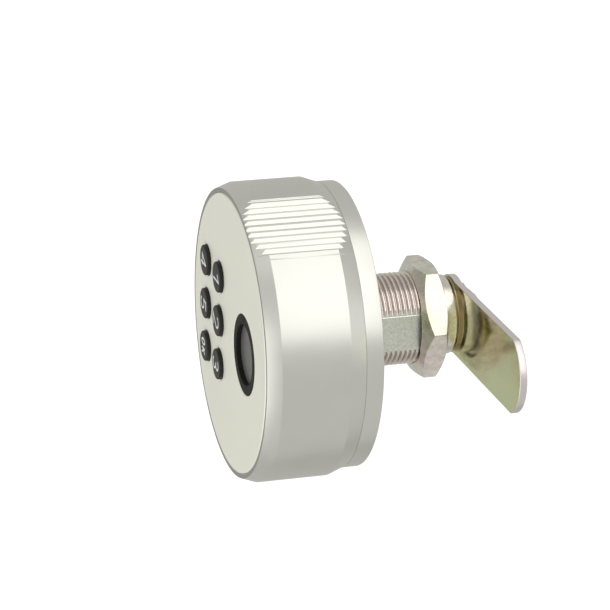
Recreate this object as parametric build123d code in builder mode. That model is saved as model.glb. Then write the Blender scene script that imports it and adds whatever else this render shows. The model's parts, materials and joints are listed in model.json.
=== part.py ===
from build123d import *
from math import cos, radians, sin, sqrt, tan
import os

os.makedirs("parts", exist_ok=True)

# Electronic cam lock for a cabinet door: a round knob with six buttons and a
# fingerprint sensor turns on a base ring, and carries a flat cam behind the door.
# Millimetres. The lock's axis is Y, +Y points into the door, +Z is up, and the
# origin is the centre of the base ring's rear face, which lies on the door.
# Angles are anticlockwise from the top, as seen from the front.

# Driving dimensions

# Gaps: seat is left between pieces that sit on each other, slip round pieces
# that slide or turn
seat = 0.05
slip = 0.1

# Base ring, fixed to the door
base_h = 3.5
base_floor = 2.0
base_wall = 2.4
base_edge = 0.25
base_skin = 0.4

# Knob housing: walls and steps outwards from the ledge that the plate sits on
knob_gap = 0.12
ledge_w = 1.2
ledge_t = 1.2
housing_wall = 3.0
taper_len = 3.23
taper_rise = 1.2
chamfer_len = 2.8
chamfer_rise = 1.0
lip_w = 0.9

# Serrated grip patches milled into the housing, one each side
grip_angle = 64.7
grip_depth = 1.25
grip_pitch = 1.62
grip_count = 11
grip_patches = 2

# Face plate and its gasket
plate_t = 2.0
plate_proud = 0.1
plate_edge = 0.25
gasket_t = 0.4
stud_r = 2.0
stud_inset = 3.3
stud_angles = (72.0, 122.0, 238.0, 288.0)
stud_thread = 1.9

# Buttons, three across and two down, with room round the outer ones
key_pitch_x = 9.35
key_pitch_z = 10.3
key_row_high = -7.2
key_rim_gap = 2.06
key_r = 3.15
key_proud = 0.85
key_travel = 0.7
key_edge = 0.3
key_flange_r = 3.9
key_flange_t = 0.6
key_stem_r = 1.5

# Fingerprint sensor
sensor_z = 11.9
bezel_r = 8.05
bezel_w = 2.0
bezel_flange_w = 1.3
bezel_flange_t = 0.65
window_edge = 0.2
pad_sunk = 0.95
pad_lap = 0.6
pad_t = 0.8
module_board = 14.0
module_board_t = 1.0
module_corner = 2.0
module_chip = 8.0
module_chip_t = 0.5
ribbon_w = 6.0
ribbon_t = 0.2
ribbon_bend = 0.55
ribbon_run = 1.4

# Key guide and main board
guide_t = 1.2
guide_gap = 0.3
window_gap = 1.25
notch_gap = 0.25
boss_r = 1.9
boss_h = 1.3
board_t = 1.2
board_rim_gap = 0.4
board_gap = 0.4
switch_w = 3.6
switch_h = 1.05
switch_case_h = 0.7
switch_tip_r = 0.9
board_screw_inset = 2.6
board_screw_angles = (54.6, 305.4)
board_screw_len = 2.6
socket_w = 8.4
socket_d = 2.6
socket_h = 1.5
buzzer_r = 4.5
buzzer_h = 1.3
buzzer_edge = 0.3
buzzer_x = -8.5
buzzer_z = 14.0

# Chips behind the board: width, length, height and place across and up
chips = [(7.0, 7.0, 0.9, 5.0, 9.0), (4.0, 5.0, 1.1, 14.0, 1.0), (3.0, 6.0, 0.8, -14.5, -4.0)]

# Chassis at the back of the knob
chassis_set = 0.58
chassis_t = 3.4
chassis_gap = 0.2
pillar_inset = 2.4
pillar_r = 2.6
pillar_thread = 5.6
chassis_screw_len = 8.4

# Coin cells and their tray
cell_t = 5.0
cell_rim = 1.65
cell_cap_h = 0.3
tray_gap = 0.65
tray_floor = 0.9
tray_wall = 1.1
tray_mid_wall = 0.7
tray_short = 0.5
tray_ear_z = 12.5
tray_ear_r = 2.3
tray_screw_len = 2.9
contact_t = 0.25
contact_w = 5.0
contact_corner = 1.25
contact_slot = 1.0
contact_reach = 4.2

# Motor, lead screw and lock bolt
bolt_w = 7.0
bolt_h = 5.0
bolt_len = 5.0
bolt_edge = 0.4
bolt_end = 0.5
lead_r = 1.0
lead_collar_r = 1.9
lead_collar_t = 0.35
lead_tip_gap = 0.4
motor_r = 4.0
motor_len = 5.6
motor_gap = 0.6
motor_cap_r = 2.6
motor_cap_t = 0.6
clamp_wall = 1.3
clamp_ring_len = 3.4
clamp_foot_t = 1.2
clamp_foot_w = 5.3
clamp_depth = 4.2
clamp_screw_len = 3.6
guide_wall = 1.2
guide_wall_h = 1.3
track_w = 7.2
track_gap = 0.7
track_screw_len = 2.9
pocket_gap = 0.3
slide_w = 2.2
slide_gap = 0.3
slide_h = 1.9

# Threaded neck and nut
neck_r = 9.35
neck_flat_depth = 1.25
thread_lead = 0.7
neck_flange_w = 2.0
neck_flange_t = 1.35
neck_screw_out = 2.25
neck_screw_len = 2.8
thread_end = 18.6
collar_step = 1.3
collar_len = 3.15
collar_wall = 2.05
nut_wall = 1.65
nut_t = 5.0
nut_front = 13.9
nut_turn = 2.0
nut_face_w = 0.45
nut_slope = 30.0

# Spindle and its thrust washer
spindle_flange_w = 2.3
spindle_flange_t = 1.4
spindle_screw_out = 2.1
spindle_screw_len = 2.9
spindle_turn = 1.3
shoulder_gap = 0.45
square_inset = 0.243
square_play = 0.1
square_short = 0.2
thrust_t = 0.6
thrust_gap = 0.3
thrust_w = 3.7

# Cam and its fastening on the spindle's square
stop_rim_w = 1.0
stop_rim_t = 0.3
stop_hub_w = 0.7
stop_hub_t = 0.5
cam_t = 1.5
cam_w = 15.1
cam_hub_bow = 0.45
cam_tip_bow = 0.85
cam_len = 41.8
cam_edge = 0.15
tooth_inset = 1.0
tooth_h = 1.2
tooth_w = 1.5
tooth_count = 10
tooth_start = 18.0
lock_washer_t = 0.8
cam_screw_len = 12.0

# Screw sizes: shank radius, head radius, head height and recess radius
flush_m2 = (0.8, 1.65, 0.85, 0.8)
pan_m2 = (0.8, 1.7, 1.1, 0.8)
pan_m5 = (2.45, 4.75, 3.1, 1.9)
pan_rim_share = 0.6
pan_top_share = 0.75
recess_share = 0.55
hole_play = 0.05
hole_reach = 10.0
screw_count = 4
screw_start = 45.0

# Radii outwards, worked out from the driving dimensions

key_rows = (key_row_high, key_row_high - key_pitch_z)
key_reach = sqrt(key_pitch_x**2 + key_rows[1] ** 2) + key_flange_r
ledge_in_r = key_reach + key_rim_gap
housing_in_r = ledge_in_r + ledge_w
knob_r = housing_in_r + housing_wall
lip_r = knob_r - chamfer_rise
window_r = bezel_r - bezel_w
pad_r = window_r + pad_lap
plate_r = lip_r - lip_w - slip
stud_pcd_r = ledge_in_r - stud_inset
grip_floor_r = knob_r - grip_depth
pillar_pcd_r = housing_in_r - pillar_inset
board_r = pillar_pcd_r - pillar_r - board_rim_gap
pocket_r = (housing_in_r - tray_gap - tray_wall - tray_mid_wall / 2) / 2
cell_r = pocket_r - 2 * slip
cell_x = pocket_r + tray_mid_wall / 2
base_r = knob_r - taper_rise
base_in_r = base_r - base_wall
slide_out_r = base_in_r - slide_gap
slide_in_r = slide_out_r - slide_w
track_out_r = slide_in_r - track_gap
track_in_r = track_out_r - track_w
track_mid_r = (track_in_r + track_out_r) / 2
bolt_z = -track_mid_r
neck_flat = neck_r - neck_flat_depth
neck_screw_r = neck_r + neck_screw_out
neck_flange_r = neck_screw_r + neck_flange_w
collar_r = neck_r - collar_step
bore_r = collar_r - collar_wall
nut_af = 2 * (neck_r + nut_wall)
nut_corner_r = nut_af / sqrt(3)
nut_face_r = neck_r + nut_face_w
shaft_r = bore_r - slip
square_af = sqrt(2) * (shaft_r - square_inset)
spindle_screw_r = bore_r + spindle_screw_out
spindle_flange_r = spindle_screw_r + spindle_flange_w
thrust_in_r = bore_r + thrust_gap
stop_hub_r = shaft_r + stop_hub_w
stop_r = stop_hub_r + stop_rim_w
cam_hub_r = cam_w / 2 + cam_hub_bow
cam_tip_r = cam_w / 2 + cam_tip_bow
tooth_r = cam_hub_r - tooth_inset
tooth_root_r = tooth_r - tooth_h

# Depths in the knob, from the door forwards, so each is less than the last

base_front = -base_h
floor_front = -base_floor
track_front = base_front
neck_front = floor_front - seat - neck_flange_t
knob_rear = base_front - knob_gap
taper_front = knob_rear - taper_len
chassis_rear = knob_rear - chassis_set
chassis_front = chassis_rear - chassis_t
thrust_front = chassis_rear + slip
bolt_rear = chassis_rear - 2 * slip
bolt_front = bolt_rear - bolt_len
motor_back = bolt_front - motor_gap
motor_front = motor_back - motor_len
foot_front = chassis_front - seat - clamp_foot_t
pillar_end = chassis_front - seat
tray_floor_front = chassis_front - seat - tray_floor
cell_back = tray_floor_front - seat
cell_front = cell_back - cell_t - cell_cap_h
tray_front = cell_back - cell_t + tray_short
board_back = min(motor_front, cell_front - buzzer_h) - board_gap
board_front = board_back - board_t
switch_top = board_front - switch_h
boss_end = board_front - seat
guide_back = boss_end - boss_h
guide_front = guide_back - guide_t
ledge_rear = guide_front - seat
ledge_front = ledge_rear - ledge_t
plate_back = ledge_front - gasket_t
face_y = plate_back - plate_t
lip_y = face_y + plate_proud
band_front = lip_y + chamfer_len
flange_front = plate_back + slip
stem_end = switch_top - slip - key_travel
stud_end = guide_front - seat
bezel_back = plate_back + seat + bezel_flange_t
pad_front = face_y + pad_sunk
pad_back = pad_front + seat + pad_t
module_back = bezel_back + seat + module_board_t

# Depths behind the door's face

nut_back = nut_front + nut_t
collar_end = thread_end + collar_len
shoulder = collar_end + shoulder_gap
cam_front = shoulder + stop_hub_t + 2 * seat
cam_back = cam_front + cam_t
square_end = cam_back - square_short
lock_back = cam_back + seat + lock_washer_t


def level(y, turn=0.0):
    """Plane across the axis at depth y, as seen from the front, with X to the right.

    A positive extrude comes forwards. A turn is anticlockwise.
    """
    right = (cos(radians(turn)), 0, sin(radians(turn)))
    return Plane(origin=(0, y, 0), x_dir=right, z_dir=(0, -1, 0))


def circle_spots(radius, angles):
    """Places on a circle about the axis, as (x, z)."""
    return [(-radius * sin(radians(a)), radius * cos(radians(a))) for a in angles]


def around(count, radius, start=0.0):
    """Places of count things spaced evenly on a circle about the axis."""
    return circle_spots(radius, [start + 360 / count * i for i in range(count)])


def deep(spots):
    """Places in space for (x, z) spots."""
    return [(x, 0, z) for x, z in spots]


def save(piece, label):
    piece.part.label = label
    export_step(piece.part, "parts/" + label + ".step")


def screw(kind, size, under, length, toward=-1):
    """Screw on the axis with its shank along Y in the direction toward.

    under is the depth of a pan head's seat, or of a flush head's outer face.
    """
    shank, head, head_h, recess = size
    out = -toward * head_h
    if kind == "pan":
        top = under + out
        rim_end = (head, under + pan_rim_share * out)
        rim = [(shank, under), (head, under), rim_end, (pan_top_share * head, top)]
    else:
        top = under
        rim = [(shank, under - out), (head, under)]
    tip = under + toward * length
    with BuildPart() as fastener:
        with BuildSketch(Plane.XY):
            with BuildLine():
                Polyline((0, tip), (shank, tip), *rim, (0, top), close=True)
            make_face()
        revolve(axis=Axis.Y)
        with BuildSketch(level(top)):
            RegularPolygon(radius=recess, side_count=6)
        extrude(amount=-toward * recess_share * head_h, mode=Mode.SUBTRACT)
    return fastener.part


def sink(size, face, toward=-1):
    """The space that a flush screw's head and shank need in the piece it holds."""
    shank, head, head_h, recess = size
    wide = head + 2 * hole_play
    thin = shank + hole_play
    with BuildPart() as space:
        with BuildSketch(Plane.XY):
            with BuildLine():
                Polyline(
                    (0, face),
                    (wide, face),
                    (thin, face + toward * (head_h + hole_play)),
                    (thin, face + toward * hole_reach),
                    (0, face + toward * hole_reach),
                    close=True,
                )
            make_face()
        revolve(axis=Axis.Y)
    return space.part


def pilot(size, face, depth, toward=-1):
    """Blind hole on the axis for a screw's shank."""
    with BuildPart() as hole:
        with BuildSketch(level(face)):
            Circle(size[0] + hole_play)
        extrude(amount=-toward * depth)
    return hole.part


# Spots that several pieces share

key_spots = [(x, z) for z in key_rows for x in (-key_pitch_x, 0, key_pitch_x)]
key_names = ["button_1", "button_2", "button_3", "button_4", "button_5", "button_ok"]
stud_spots = circle_spots(stud_pcd_r, stud_angles)
board_spots = circle_spots(board_r - board_screw_inset, board_screw_angles)
board_spots.append((0, sum(key_rows) / 2))
pillar_spots = around(screw_count, pillar_pcd_r, start=screw_start)
spindle_spots = around(screw_count, spindle_screw_r, start=screw_start)
track_spots = around(screw_count, track_mid_r, start=screw_start)
neck_spots = around(screw_count, neck_screw_r, start=screw_start)
tray_spots = [(0, -tray_ear_z), (0, tray_ear_z)]
cell_spots = [(-cell_x, 0), (cell_x, 0)]

# Base ring: a shallow cup, with the neck's double flat hole in its floor and
# blind threads for the screws that hold the neck and the track

floor_thread = pilot(flush_m2, floor_front, base_floor - base_skin, toward=1)

with BuildPart() as base_ring:
    with BuildSketch(Plane.XY):
        with BuildLine():
            Polyline(
                (0, 0),
                (base_r - base_edge, 0),
                (base_r, -base_edge),
                (base_r, base_front),
                (base_in_r, base_front),
                (base_in_r, floor_front),
                (0, floor_front),
                close=True,
            )
        make_face()
    revolve(axis=Axis.Y)
    with BuildSketch(level(0)):
        Circle(neck_r + slip)
        Rectangle(4 * neck_r, 2 * (neck_flat + slip), mode=Mode.INTERSECT)
    extrude(amount=base_floor, mode=Mode.SUBTRACT)
    with Locations(*deep(track_spots + neck_spots)):
        add(floor_thread, mode=Mode.SUBTRACT)
save(base_ring, "base_ring")

# Track ring in the base, with a pocket for the lock bolt at each end of the turn

track_head = sink(flush_m2, track_front, toward=1)
with BuildPart() as track_ring:
    with BuildSketch(level(floor_front - seat)):
        Circle(track_out_r)
        Circle(track_in_r, mode=Mode.SUBTRACT)
        with Locations((0, bolt_z)):
            Rectangle(bolt_w + 2 * pocket_gap, bolt_h + 2 * pocket_gap, mode=Mode.SUBTRACT)
        with Locations((bolt_z, 0)):
            Rectangle(bolt_h + 2 * pocket_gap, bolt_w + 2 * pocket_gap, mode=Mode.SUBTRACT)
    extrude(amount=floor_front - seat - track_front)
    with Locations(*deep(track_spots)):
        add(track_head, mode=Mode.SUBTRACT)
save(track_ring, "track_ring")

track_screw = screw("flush", flush_m2, track_front, track_screw_len, toward=1)
with BuildPart() as track_screws:
    with Locations(*deep(track_spots)):
        add(track_screw)
save(track_screws, "track_screws")

# Slide ring that the chassis runs on

with BuildPart() as slide_ring:
    with BuildSketch(level(floor_front - seat)):
        Circle(slide_out_r)
        Circle(slide_in_r, mode=Mode.SUBTRACT)
    extrude(amount=slide_h)
save(slide_ring, "slide_ring")

# Threaded neck: flange inside the base, tube with two flats, plain collar behind

neck_head = sink(flush_m2, neck_front, toward=1)
with BuildPart() as threaded_neck:
    with BuildSketch(Plane.XY):
        with BuildLine():
            Polyline(
                (bore_r, neck_front),
                (neck_flange_r, neck_front),
                (neck_flange_r, floor_front - seat),
                (neck_r, floor_front - seat),
                (neck_r, thread_end - thread_lead),
                (neck_r - thread_lead, thread_end),
                (collar_r, thread_end),
                (collar_r, collar_end - base_edge),
                (collar_r - base_edge, collar_end),
                (bore_r, collar_end),
                close=True,
            )
        make_face()
    revolve(axis=Axis.Y)
    with BuildSketch(level(thread_end)):
        for side in (-1, 1):
            with Locations((0, side * (neck_flat + neck_r))):
                Rectangle(4 * neck_r, 2 * neck_r)
    extrude(amount=thread_end - floor_front + seat, mode=Mode.SUBTRACT)
    with Locations(*deep(neck_spots)):
        add(neck_head, mode=Mode.SUBTRACT)
save(threaded_neck, "threaded_neck")

neck_screw = screw("flush", flush_m2, neck_front, neck_screw_len, toward=1)
with BuildPart() as neck_screws:
    with Locations(*deep(neck_spots)):
        add(neck_screw)
save(neck_screws, "neck_screws")

with BuildPart() as thrust_washer:
    with BuildSketch(level(thrust_front + thrust_t)):
        Circle(thrust_in_r + thrust_w)
        Circle(thrust_in_r, mode=Mode.SUBTRACT)
    extrude(amount=thrust_t)
save(thrust_washer, "thrust_washer")

# Hex nut: a prism cut to cones at both faces

nut_rise = tan(radians(nut_slope))
with BuildPart() as hex_nut:
    with BuildSketch(level(nut_back)):
        RegularPolygon(
            radius=nut_af / 2, side_count=6, major_radius=False, rotation=90 + nut_turn
        )
    extrude(amount=nut_t)
    with BuildSketch(Plane.XY):
        with BuildLine():
            Polyline(
                (neck_r + seat, nut_front),
                (nut_face_r, nut_front),
                (nut_corner_r, nut_front + (nut_corner_r - nut_face_r) * nut_rise),
                (nut_corner_r, nut_back - (nut_corner_r - nut_af / 2) * nut_rise),
                (nut_af / 2, nut_back),
                (neck_r + seat, nut_back),
                close=True,
            )
        make_face()
    revolve(axis=Axis.Y, mode=Mode.INTERSECT)
save(hex_nut, "hex_nut")

# Knob housing: turned shell with an inner ledge, pillars and the milled grips

pillar_hole = pilot(flush_m2, pillar_end, pillar_thread)
groove = 2 * (knob_r - grip_floor_r)
with BuildPart() as knob_housing:
    with BuildSketch(Plane.XY):
        with BuildLine():
            Polyline(
                (housing_in_r, knob_rear),
                (base_r, knob_rear),
                (knob_r, taper_front),
                (knob_r, band_front),
                (lip_r, lip_y),
                (plate_r + slip, lip_y),
                (plate_r + slip, ledge_front),
                (ledge_in_r, ledge_front),
                (ledge_in_r, ledge_rear),
                (housing_in_r, ledge_rear),
                close=True,
            )
        make_face()
    revolve(axis=Axis.Y)
    with BuildSketch(level(pillar_end)):
        with Locations(*pillar_spots):
            Circle(pillar_r)
    extrude(amount=pillar_end - ledge_rear)
    with Locations(*deep(pillar_spots)):
        add(pillar_hole, mode=Mode.SUBTRACT)
    with BuildSketch(level(knob_rear)):
        with PolarLocations(grip_floor_r, grip_patches, start_angle=90 + grip_angle):
            with GridLocations(0, grip_pitch, 1, grip_count):
                Polygon((0, 0), (groove, -groove), (groove, groove), align=None)
    extrude(amount=knob_rear - lip_y, mode=Mode.SUBTRACT)
save(knob_housing, "knob_housing")

with BuildPart() as plate_gasket:
    with BuildSketch(level(ledge_front)):
        Circle(plate_r)
        Circle(ledge_in_r, mode=Mode.SUBTRACT)
    extrude(amount=gasket_t)
save(plate_gasket, "plate_gasket")

# Face plate: holes for the buttons and the sensor, threaded studs behind

stud_hole = pilot(pan_m2, stud_end, stud_thread)
with BuildPart() as face_plate:
    with BuildSketch(level(plate_back)):
        Circle(plate_r)
    extrude(amount=plate_t)
    chamfer(face_plate.faces().sort_by(Axis.Y)[0].edges(), plate_edge)
    with BuildSketch(level(stud_end)):
        with Locations(*stud_spots):
            Circle(stud_r)
    extrude(amount=stud_end - plate_back)
    with BuildSketch(level(plate_back)):
        with Locations(*key_spots):
            Circle(key_r + slip)
        with Locations((0, sensor_z)):
            Circle(bezel_r + seat)
    extrude(amount=plate_t, mode=Mode.SUBTRACT)
    with Locations(*deep(stud_spots)):
        add(stud_hole, mode=Mode.SUBTRACT)
save(face_plate, "face_plate")

# Buttons: cap, flange behind the plate and stem over its switch

with BuildPart() as key:
    with BuildSketch(Plane.XY):
        with BuildLine():
            Polyline(
                (0, face_y - key_proud),
                (key_r, face_y - key_proud),
                (key_r, flange_front),
                (key_flange_r, flange_front),
                (key_flange_r, flange_front + key_flange_t),
                (key_stem_r, flange_front + key_flange_t),
                (key_stem_r, stem_end),
                (0, stem_end),
                close=True,
            )
        make_face()
    revolve(axis=Axis.Y)
    fillet(key.edges().sort_by(Axis.Y)[0], key_edge)

for name, spot in zip(key_names, key_spots):
    with BuildPart() as button:
        with Locations(*deep([spot])):
            add(key.part)
    save(button, name)

# Sensor: bezel flush with the plate, pad sunk in it, module and ribbon behind

with BuildPart() as sensor_bezel:
    with BuildSketch(Plane.XY):
        with BuildLine():
            Polyline(
                (window_r + window_edge, face_y),
                (bezel_r, face_y),
                (bezel_r, plate_back + seat),
                (bezel_r + bezel_flange_w, plate_back + seat),
                (bezel_r + bezel_flange_w, bezel_back),
                (pad_r + slip, bezel_back),
                (pad_r + slip, pad_front),
                (window_r, pad_front),
                (window_r, face_y + window_edge),
                close=True,
            )
        make_face()
    revolve(axis=Axis.Y)
sensor_bezel.part = sensor_bezel.part.moved(Location((0, 0, sensor_z)))
save(sensor_bezel, "sensor_bezel")

with BuildPart() as sensor_pad:
    with BuildSketch(level(pad_back)):
        with Locations((0, sensor_z)):
            Circle(pad_r)
    extrude(amount=pad_t)
save(sensor_pad, "sensor_pad")

with BuildPart() as sensor_module:
    with BuildSketch(level(module_back)):
        with Locations((0, sensor_z)):
            RectangleRounded(module_board, module_board, module_corner)
    extrude(amount=module_board_t)
    with BuildSketch(level(bezel_back + seat)):
        with Locations((0, sensor_z)):
            Circle(pad_r - 2 * slip)
    extrude(amount=bezel_back - pad_back)
    with BuildSketch(level(module_back)):
        with Locations((0, sensor_z)):
            Rectangle(module_chip, module_chip)
    extrude(amount=-module_chip_t)
save(sensor_module, "sensor_module")

ribbon_z = sensor_z - module_board / 2 + ribbon_bend
ribbon_y = module_back + seat + ribbon_t / 2 + ribbon_bend
wide_bend = ribbon_bend + ribbon_t / 2
tight_bend = ribbon_bend - ribbon_t / 2
ribbon_top = ribbon_z + ribbon_run
with BuildPart() as sensor_ribbon:
    with BuildSketch(Plane.YZ.offset(-ribbon_w / 2)):
        with BuildLine():
            CenterArc((ribbon_y, ribbon_z), wide_bend, 180, 180)
            CenterArc((ribbon_y, ribbon_z), tight_bend, 180, 180)
            for side in (-1, 1):
                outer = ribbon_y + side * wide_bend
                inner = ribbon_y + side * tight_bend
                Polyline((outer, ribbon_z), (outer, ribbon_top), (inner, ribbon_top), (inner, ribbon_z))
        make_face()
    extrude(amount=ribbon_w)
save(sensor_ribbon, "sensor_ribbon")

# Key guide: clamped behind the ledge, it guides the stems and carries the board

window_side = module_board + 2 * window_gap
boss_hole = pilot(pan_m2, boss_end, board_screw_len - board_t + slip)
with BuildPart() as key_guide:
    with BuildSketch(level(guide_back)):
        Circle(housing_in_r - guide_gap)
        with Locations(*pillar_spots):
            Circle(pillar_r + notch_gap, mode=Mode.SUBTRACT)
        with Locations((0, sensor_z)):
            Rectangle(window_side, window_side, mode=Mode.SUBTRACT)
        with Locations(*key_spots):
            Circle(key_stem_r + slip, mode=Mode.SUBTRACT)
        with Locations(*stud_spots):
            Circle(pan_m2[0] + hole_play, mode=Mode.SUBTRACT)
    extrude(amount=guide_t)
    with BuildSketch(level(boss_end)):
        with Locations(*board_spots):
            Circle(boss_r)
    extrude(amount=boss_h)
    with Locations(*deep(board_spots)):
        add(boss_hole, mode=Mode.SUBTRACT)
save(key_guide, "key_guide")

guide_screw = screw("pan", pan_m2, guide_back + seat, guide_t + stud_thread - slip)
with BuildPart() as guide_screws:
    with Locations(*deep(stud_spots)):
        add(guide_screw)
save(guide_screws, "guide_screws")

# Main board with its switches, small parts and buzzer

with BuildPart() as main_board:
    with BuildSketch(level(board_back)):
        Circle(board_r)
        with Locations(*board_spots):
            Circle(pan_m2[0] + hole_play, mode=Mode.SUBTRACT)
    extrude(amount=board_t)
save(main_board, "main_board")

with BuildPart() as key_switches:
    with BuildSketch(level(board_front)):
        with Locations(*key_spots):
            Rectangle(switch_w, switch_w)
    extrude(amount=switch_case_h)
    with BuildSketch(level(board_front)):
        with Locations(*key_spots):
            Circle(switch_tip_r)
    extrude(amount=switch_h)
save(key_switches, "key_switches")

with BuildPart() as board_parts:
    with BuildSketch(level(board_front)):
        with Locations((0, ribbon_top + socket_d / 2 + seat)):
            Rectangle(socket_w, socket_d)
    extrude(amount=socket_h)
    for chip_w, chip_l, chip_h, chip_x, chip_z in chips:
        with BuildSketch(level(board_back)):
            with Locations((chip_x, chip_z)):
                Rectangle(chip_w, chip_l)
        extrude(amount=-chip_h)
save(board_parts, "board_parts")

with BuildPart() as buzzer:
    with BuildSketch(level(board_back)):
        with Locations((buzzer_x, buzzer_z)):
            Circle(buzzer_r)
    extrude(amount=-buzzer_h)
    chamfer(buzzer.faces().sort_by(Axis.Y)[-1].edges(), buzzer_edge)
save(buzzer, "buzzer")

board_screw = screw("pan", pan_m2, board_back + seat, board_screw_len)
with BuildPart() as board_screws:
    with Locations(*deep(board_spots)):
        add(board_screw)
save(board_screws, "board_screws")

# Chassis: closes the back of the knob, holds the spindle, tray, motor and bolt

clamp_in_x = bolt_w / 2 + slip + guide_wall + slip
clamp_screw_x = clamp_in_x + clamp_wall + (clamp_foot_w - clamp_wall) / 2
clamp_spots = [(-clamp_screw_x, bolt_z), (clamp_screw_x, bolt_z)]
chassis_head = sink(flush_m2, chassis_rear)
spindle_seat = chassis_rear - spindle_flange_t - seat
spindle_thread = pilot(flush_m2, spindle_seat, spindle_screw_len - spindle_flange_t + slip)
tray_thread = pilot(pan_m2, chassis_front, tray_screw_len - tray_floor + slip, toward=1)
clamp_thread = pilot(pan_m2, chassis_front, clamp_screw_len - clamp_foot_t + slip, toward=1)
with BuildPart() as chassis:
    with BuildSketch(level(chassis_rear)):
        Circle(housing_in_r - chassis_gap)
    extrude(amount=chassis_t)
    with BuildSketch(level(chassis_front)):
        with Locations((0, bolt_z)):
            Rectangle(
                bolt_w + 2 * (slip + guide_wall), bolt_h + 2 * (slip + guide_wall)
            )
    extrude(amount=guide_wall_h)
    with BuildSketch(level(chassis_rear)):
        with Locations((0, bolt_z)):
            Rectangle(bolt_w + 2 * slip, bolt_h + 2 * slip)
    extrude(amount=chassis_t + guide_wall_h, mode=Mode.SUBTRACT)
    with BuildSketch(level(chassis_rear)):
        Circle(spindle_flange_r + seat)
    extrude(amount=spindle_flange_t + seat, mode=Mode.SUBTRACT)
    with Locations(*deep(pillar_spots)):
        add(chassis_head, mode=Mode.SUBTRACT)
    with Locations(*deep(spindle_spots)):
        add(spindle_thread, mode=Mode.SUBTRACT)
    with Locations(*deep(tray_spots)):
        add(tray_thread, mode=Mode.SUBTRACT)
    with Locations(*deep(clamp_spots)):
        add(clamp_thread, mode=Mode.SUBTRACT)
save(chassis, "chassis")

chassis_screw = screw("flush", flush_m2, chassis_rear, chassis_screw_len)
with BuildPart() as chassis_screws:
    with Locations(*deep(pillar_spots)):
        add(chassis_screw)
save(chassis_screws, "chassis_screws")

# Coin cells side by side in a tray, bridged in front by a contact strip

with BuildPart() as battery_tray:
    with BuildSketch(level(tray_floor_front + tray_floor)):
        with Locations(*cell_spots):
            Circle(pocket_r + tray_wall)
    extrude(amount=tray_floor_front + tray_floor - tray_front)
    with BuildSketch(level(tray_floor_front)):
        with Locations(*cell_spots):
            Circle(pocket_r)
    extrude(amount=tray_floor_front - tray_front, mode=Mode.SUBTRACT)
    with BuildSketch(level(tray_floor_front + tray_floor)):
        SlotCenterToCenter(2 * tray_ear_z, 2 * tray_ear_r, rotation=90)
        with Locations(*tray_spots):
            Circle(pan_m2[0] + hole_play, mode=Mode.SUBTRACT)
    extrude(amount=tray_floor)
save(battery_tray, "battery_tray")

tray_screw = screw("pan", pan_m2, tray_floor_front - seat, tray_screw_len, toward=1)
with BuildPart() as tray_screws:
    with Locations(*deep(tray_spots)):
        add(tray_screw)
save(tray_screws, "tray_screws")

with BuildPart() as cell:
    with BuildSketch(level(cell_back)):
        Circle(cell_r)
    extrude(amount=cell_t)
    with BuildSketch(level(cell_back - cell_t)):
        Circle(cell_r - cell_rim)
    extrude(amount=cell_cap_h)
    fillet(cell.edges().sort_by(Axis.Y)[-1], cell_cap_h)

for name, spot in zip(["cell_left", "cell_right"], cell_spots):
    with BuildPart() as placed_cell:
        with Locations(*deep([spot])):
            add(cell.part)
    save(placed_cell, name)

with BuildPart() as contact_strip:
    with BuildSketch(level(cell_front - seat)):
        RectangleRounded(2 * (cell_x + contact_reach), contact_w, contact_corner)
        with Locations(*cell_spots):
            SlotOverall(contact_w, contact_slot, mode=Mode.SUBTRACT)
    extrude(amount=contact_t)
save(contact_strip, "contact_strip")

# Motor in its clamp, lead screw and lock bolt

motor_place = Location((0, 0, bolt_z))
with BuildPart() as bolt_motor:
    with BuildSketch(Plane.XY):
        with BuildLine():
            Polyline(
                (0, motor_front),
                (motor_cap_r, motor_front),
                (motor_cap_r, motor_front + motor_cap_t),
                (motor_r, motor_front + motor_cap_t),
                (motor_r, motor_back),
                (0, motor_back),
                close=True,
            )
        make_face()
    revolve(axis=Axis.Y)
bolt_motor.part = bolt_motor.part.moved(motor_place)
save(bolt_motor, "bolt_motor")

clamp_back = foot_front + clamp_foot_t
ring_back = motor_back - seat
with BuildPart() as motor_clamp:
    with BuildSketch(level(ring_back)):
        with Locations((0, bolt_z)):
            Circle(motor_r + seat + clamp_wall)
    extrude(amount=clamp_ring_len)
    for side in (-1, 1):
        with BuildSketch(level(clamp_back)):
            with Locations((side * (clamp_in_x + clamp_wall / 2), bolt_z)):
                Rectangle(clamp_wall, clamp_depth)
        extrude(amount=clamp_back - ring_back + clamp_ring_len)
        with BuildSketch(level(clamp_back)):
            with Locations((side * (clamp_in_x + clamp_foot_w / 2), bolt_z)):
                Rectangle(clamp_foot_w, clamp_depth)
            with Locations((side * clamp_screw_x, bolt_z)):
                Circle(pan_m2[0] + hole_play, mode=Mode.SUBTRACT)
        extrude(amount=clamp_foot_t)
    with BuildSketch(level(ring_back)):
        with Locations((0, bolt_z)):
            Circle(motor_r + seat)
    extrude(amount=clamp_ring_len, mode=Mode.SUBTRACT)
save(motor_clamp, "motor_clamp")

clamp_screw = screw("pan", pan_m2, foot_front - seat, clamp_screw_len, toward=1)
with BuildPart() as clamp_screws:
    with Locations(*deep(clamp_spots)):
        add(clamp_screw)
save(clamp_screws, "clamp_screws")

lead_tip = bolt_rear - bolt_end - lead_tip_gap
with BuildPart() as lead_screw:
    with BuildSketch(Plane.XY):
        with BuildLine():
            Polyline(
                (0, motor_back + seat),
                (lead_collar_r, motor_back + seat),
                (lead_collar_r, motor_back + seat + lead_collar_t),
                (lead_r, motor_back + seat + lead_collar_t),
                (lead_r, lead_tip),
                (0, lead_tip),
                close=True,
            )
        make_face()
    revolve(axis=Axis.Y)
lead_screw.part = lead_screw.part.moved(motor_place)
save(lead_screw, "lead_screw")

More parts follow.
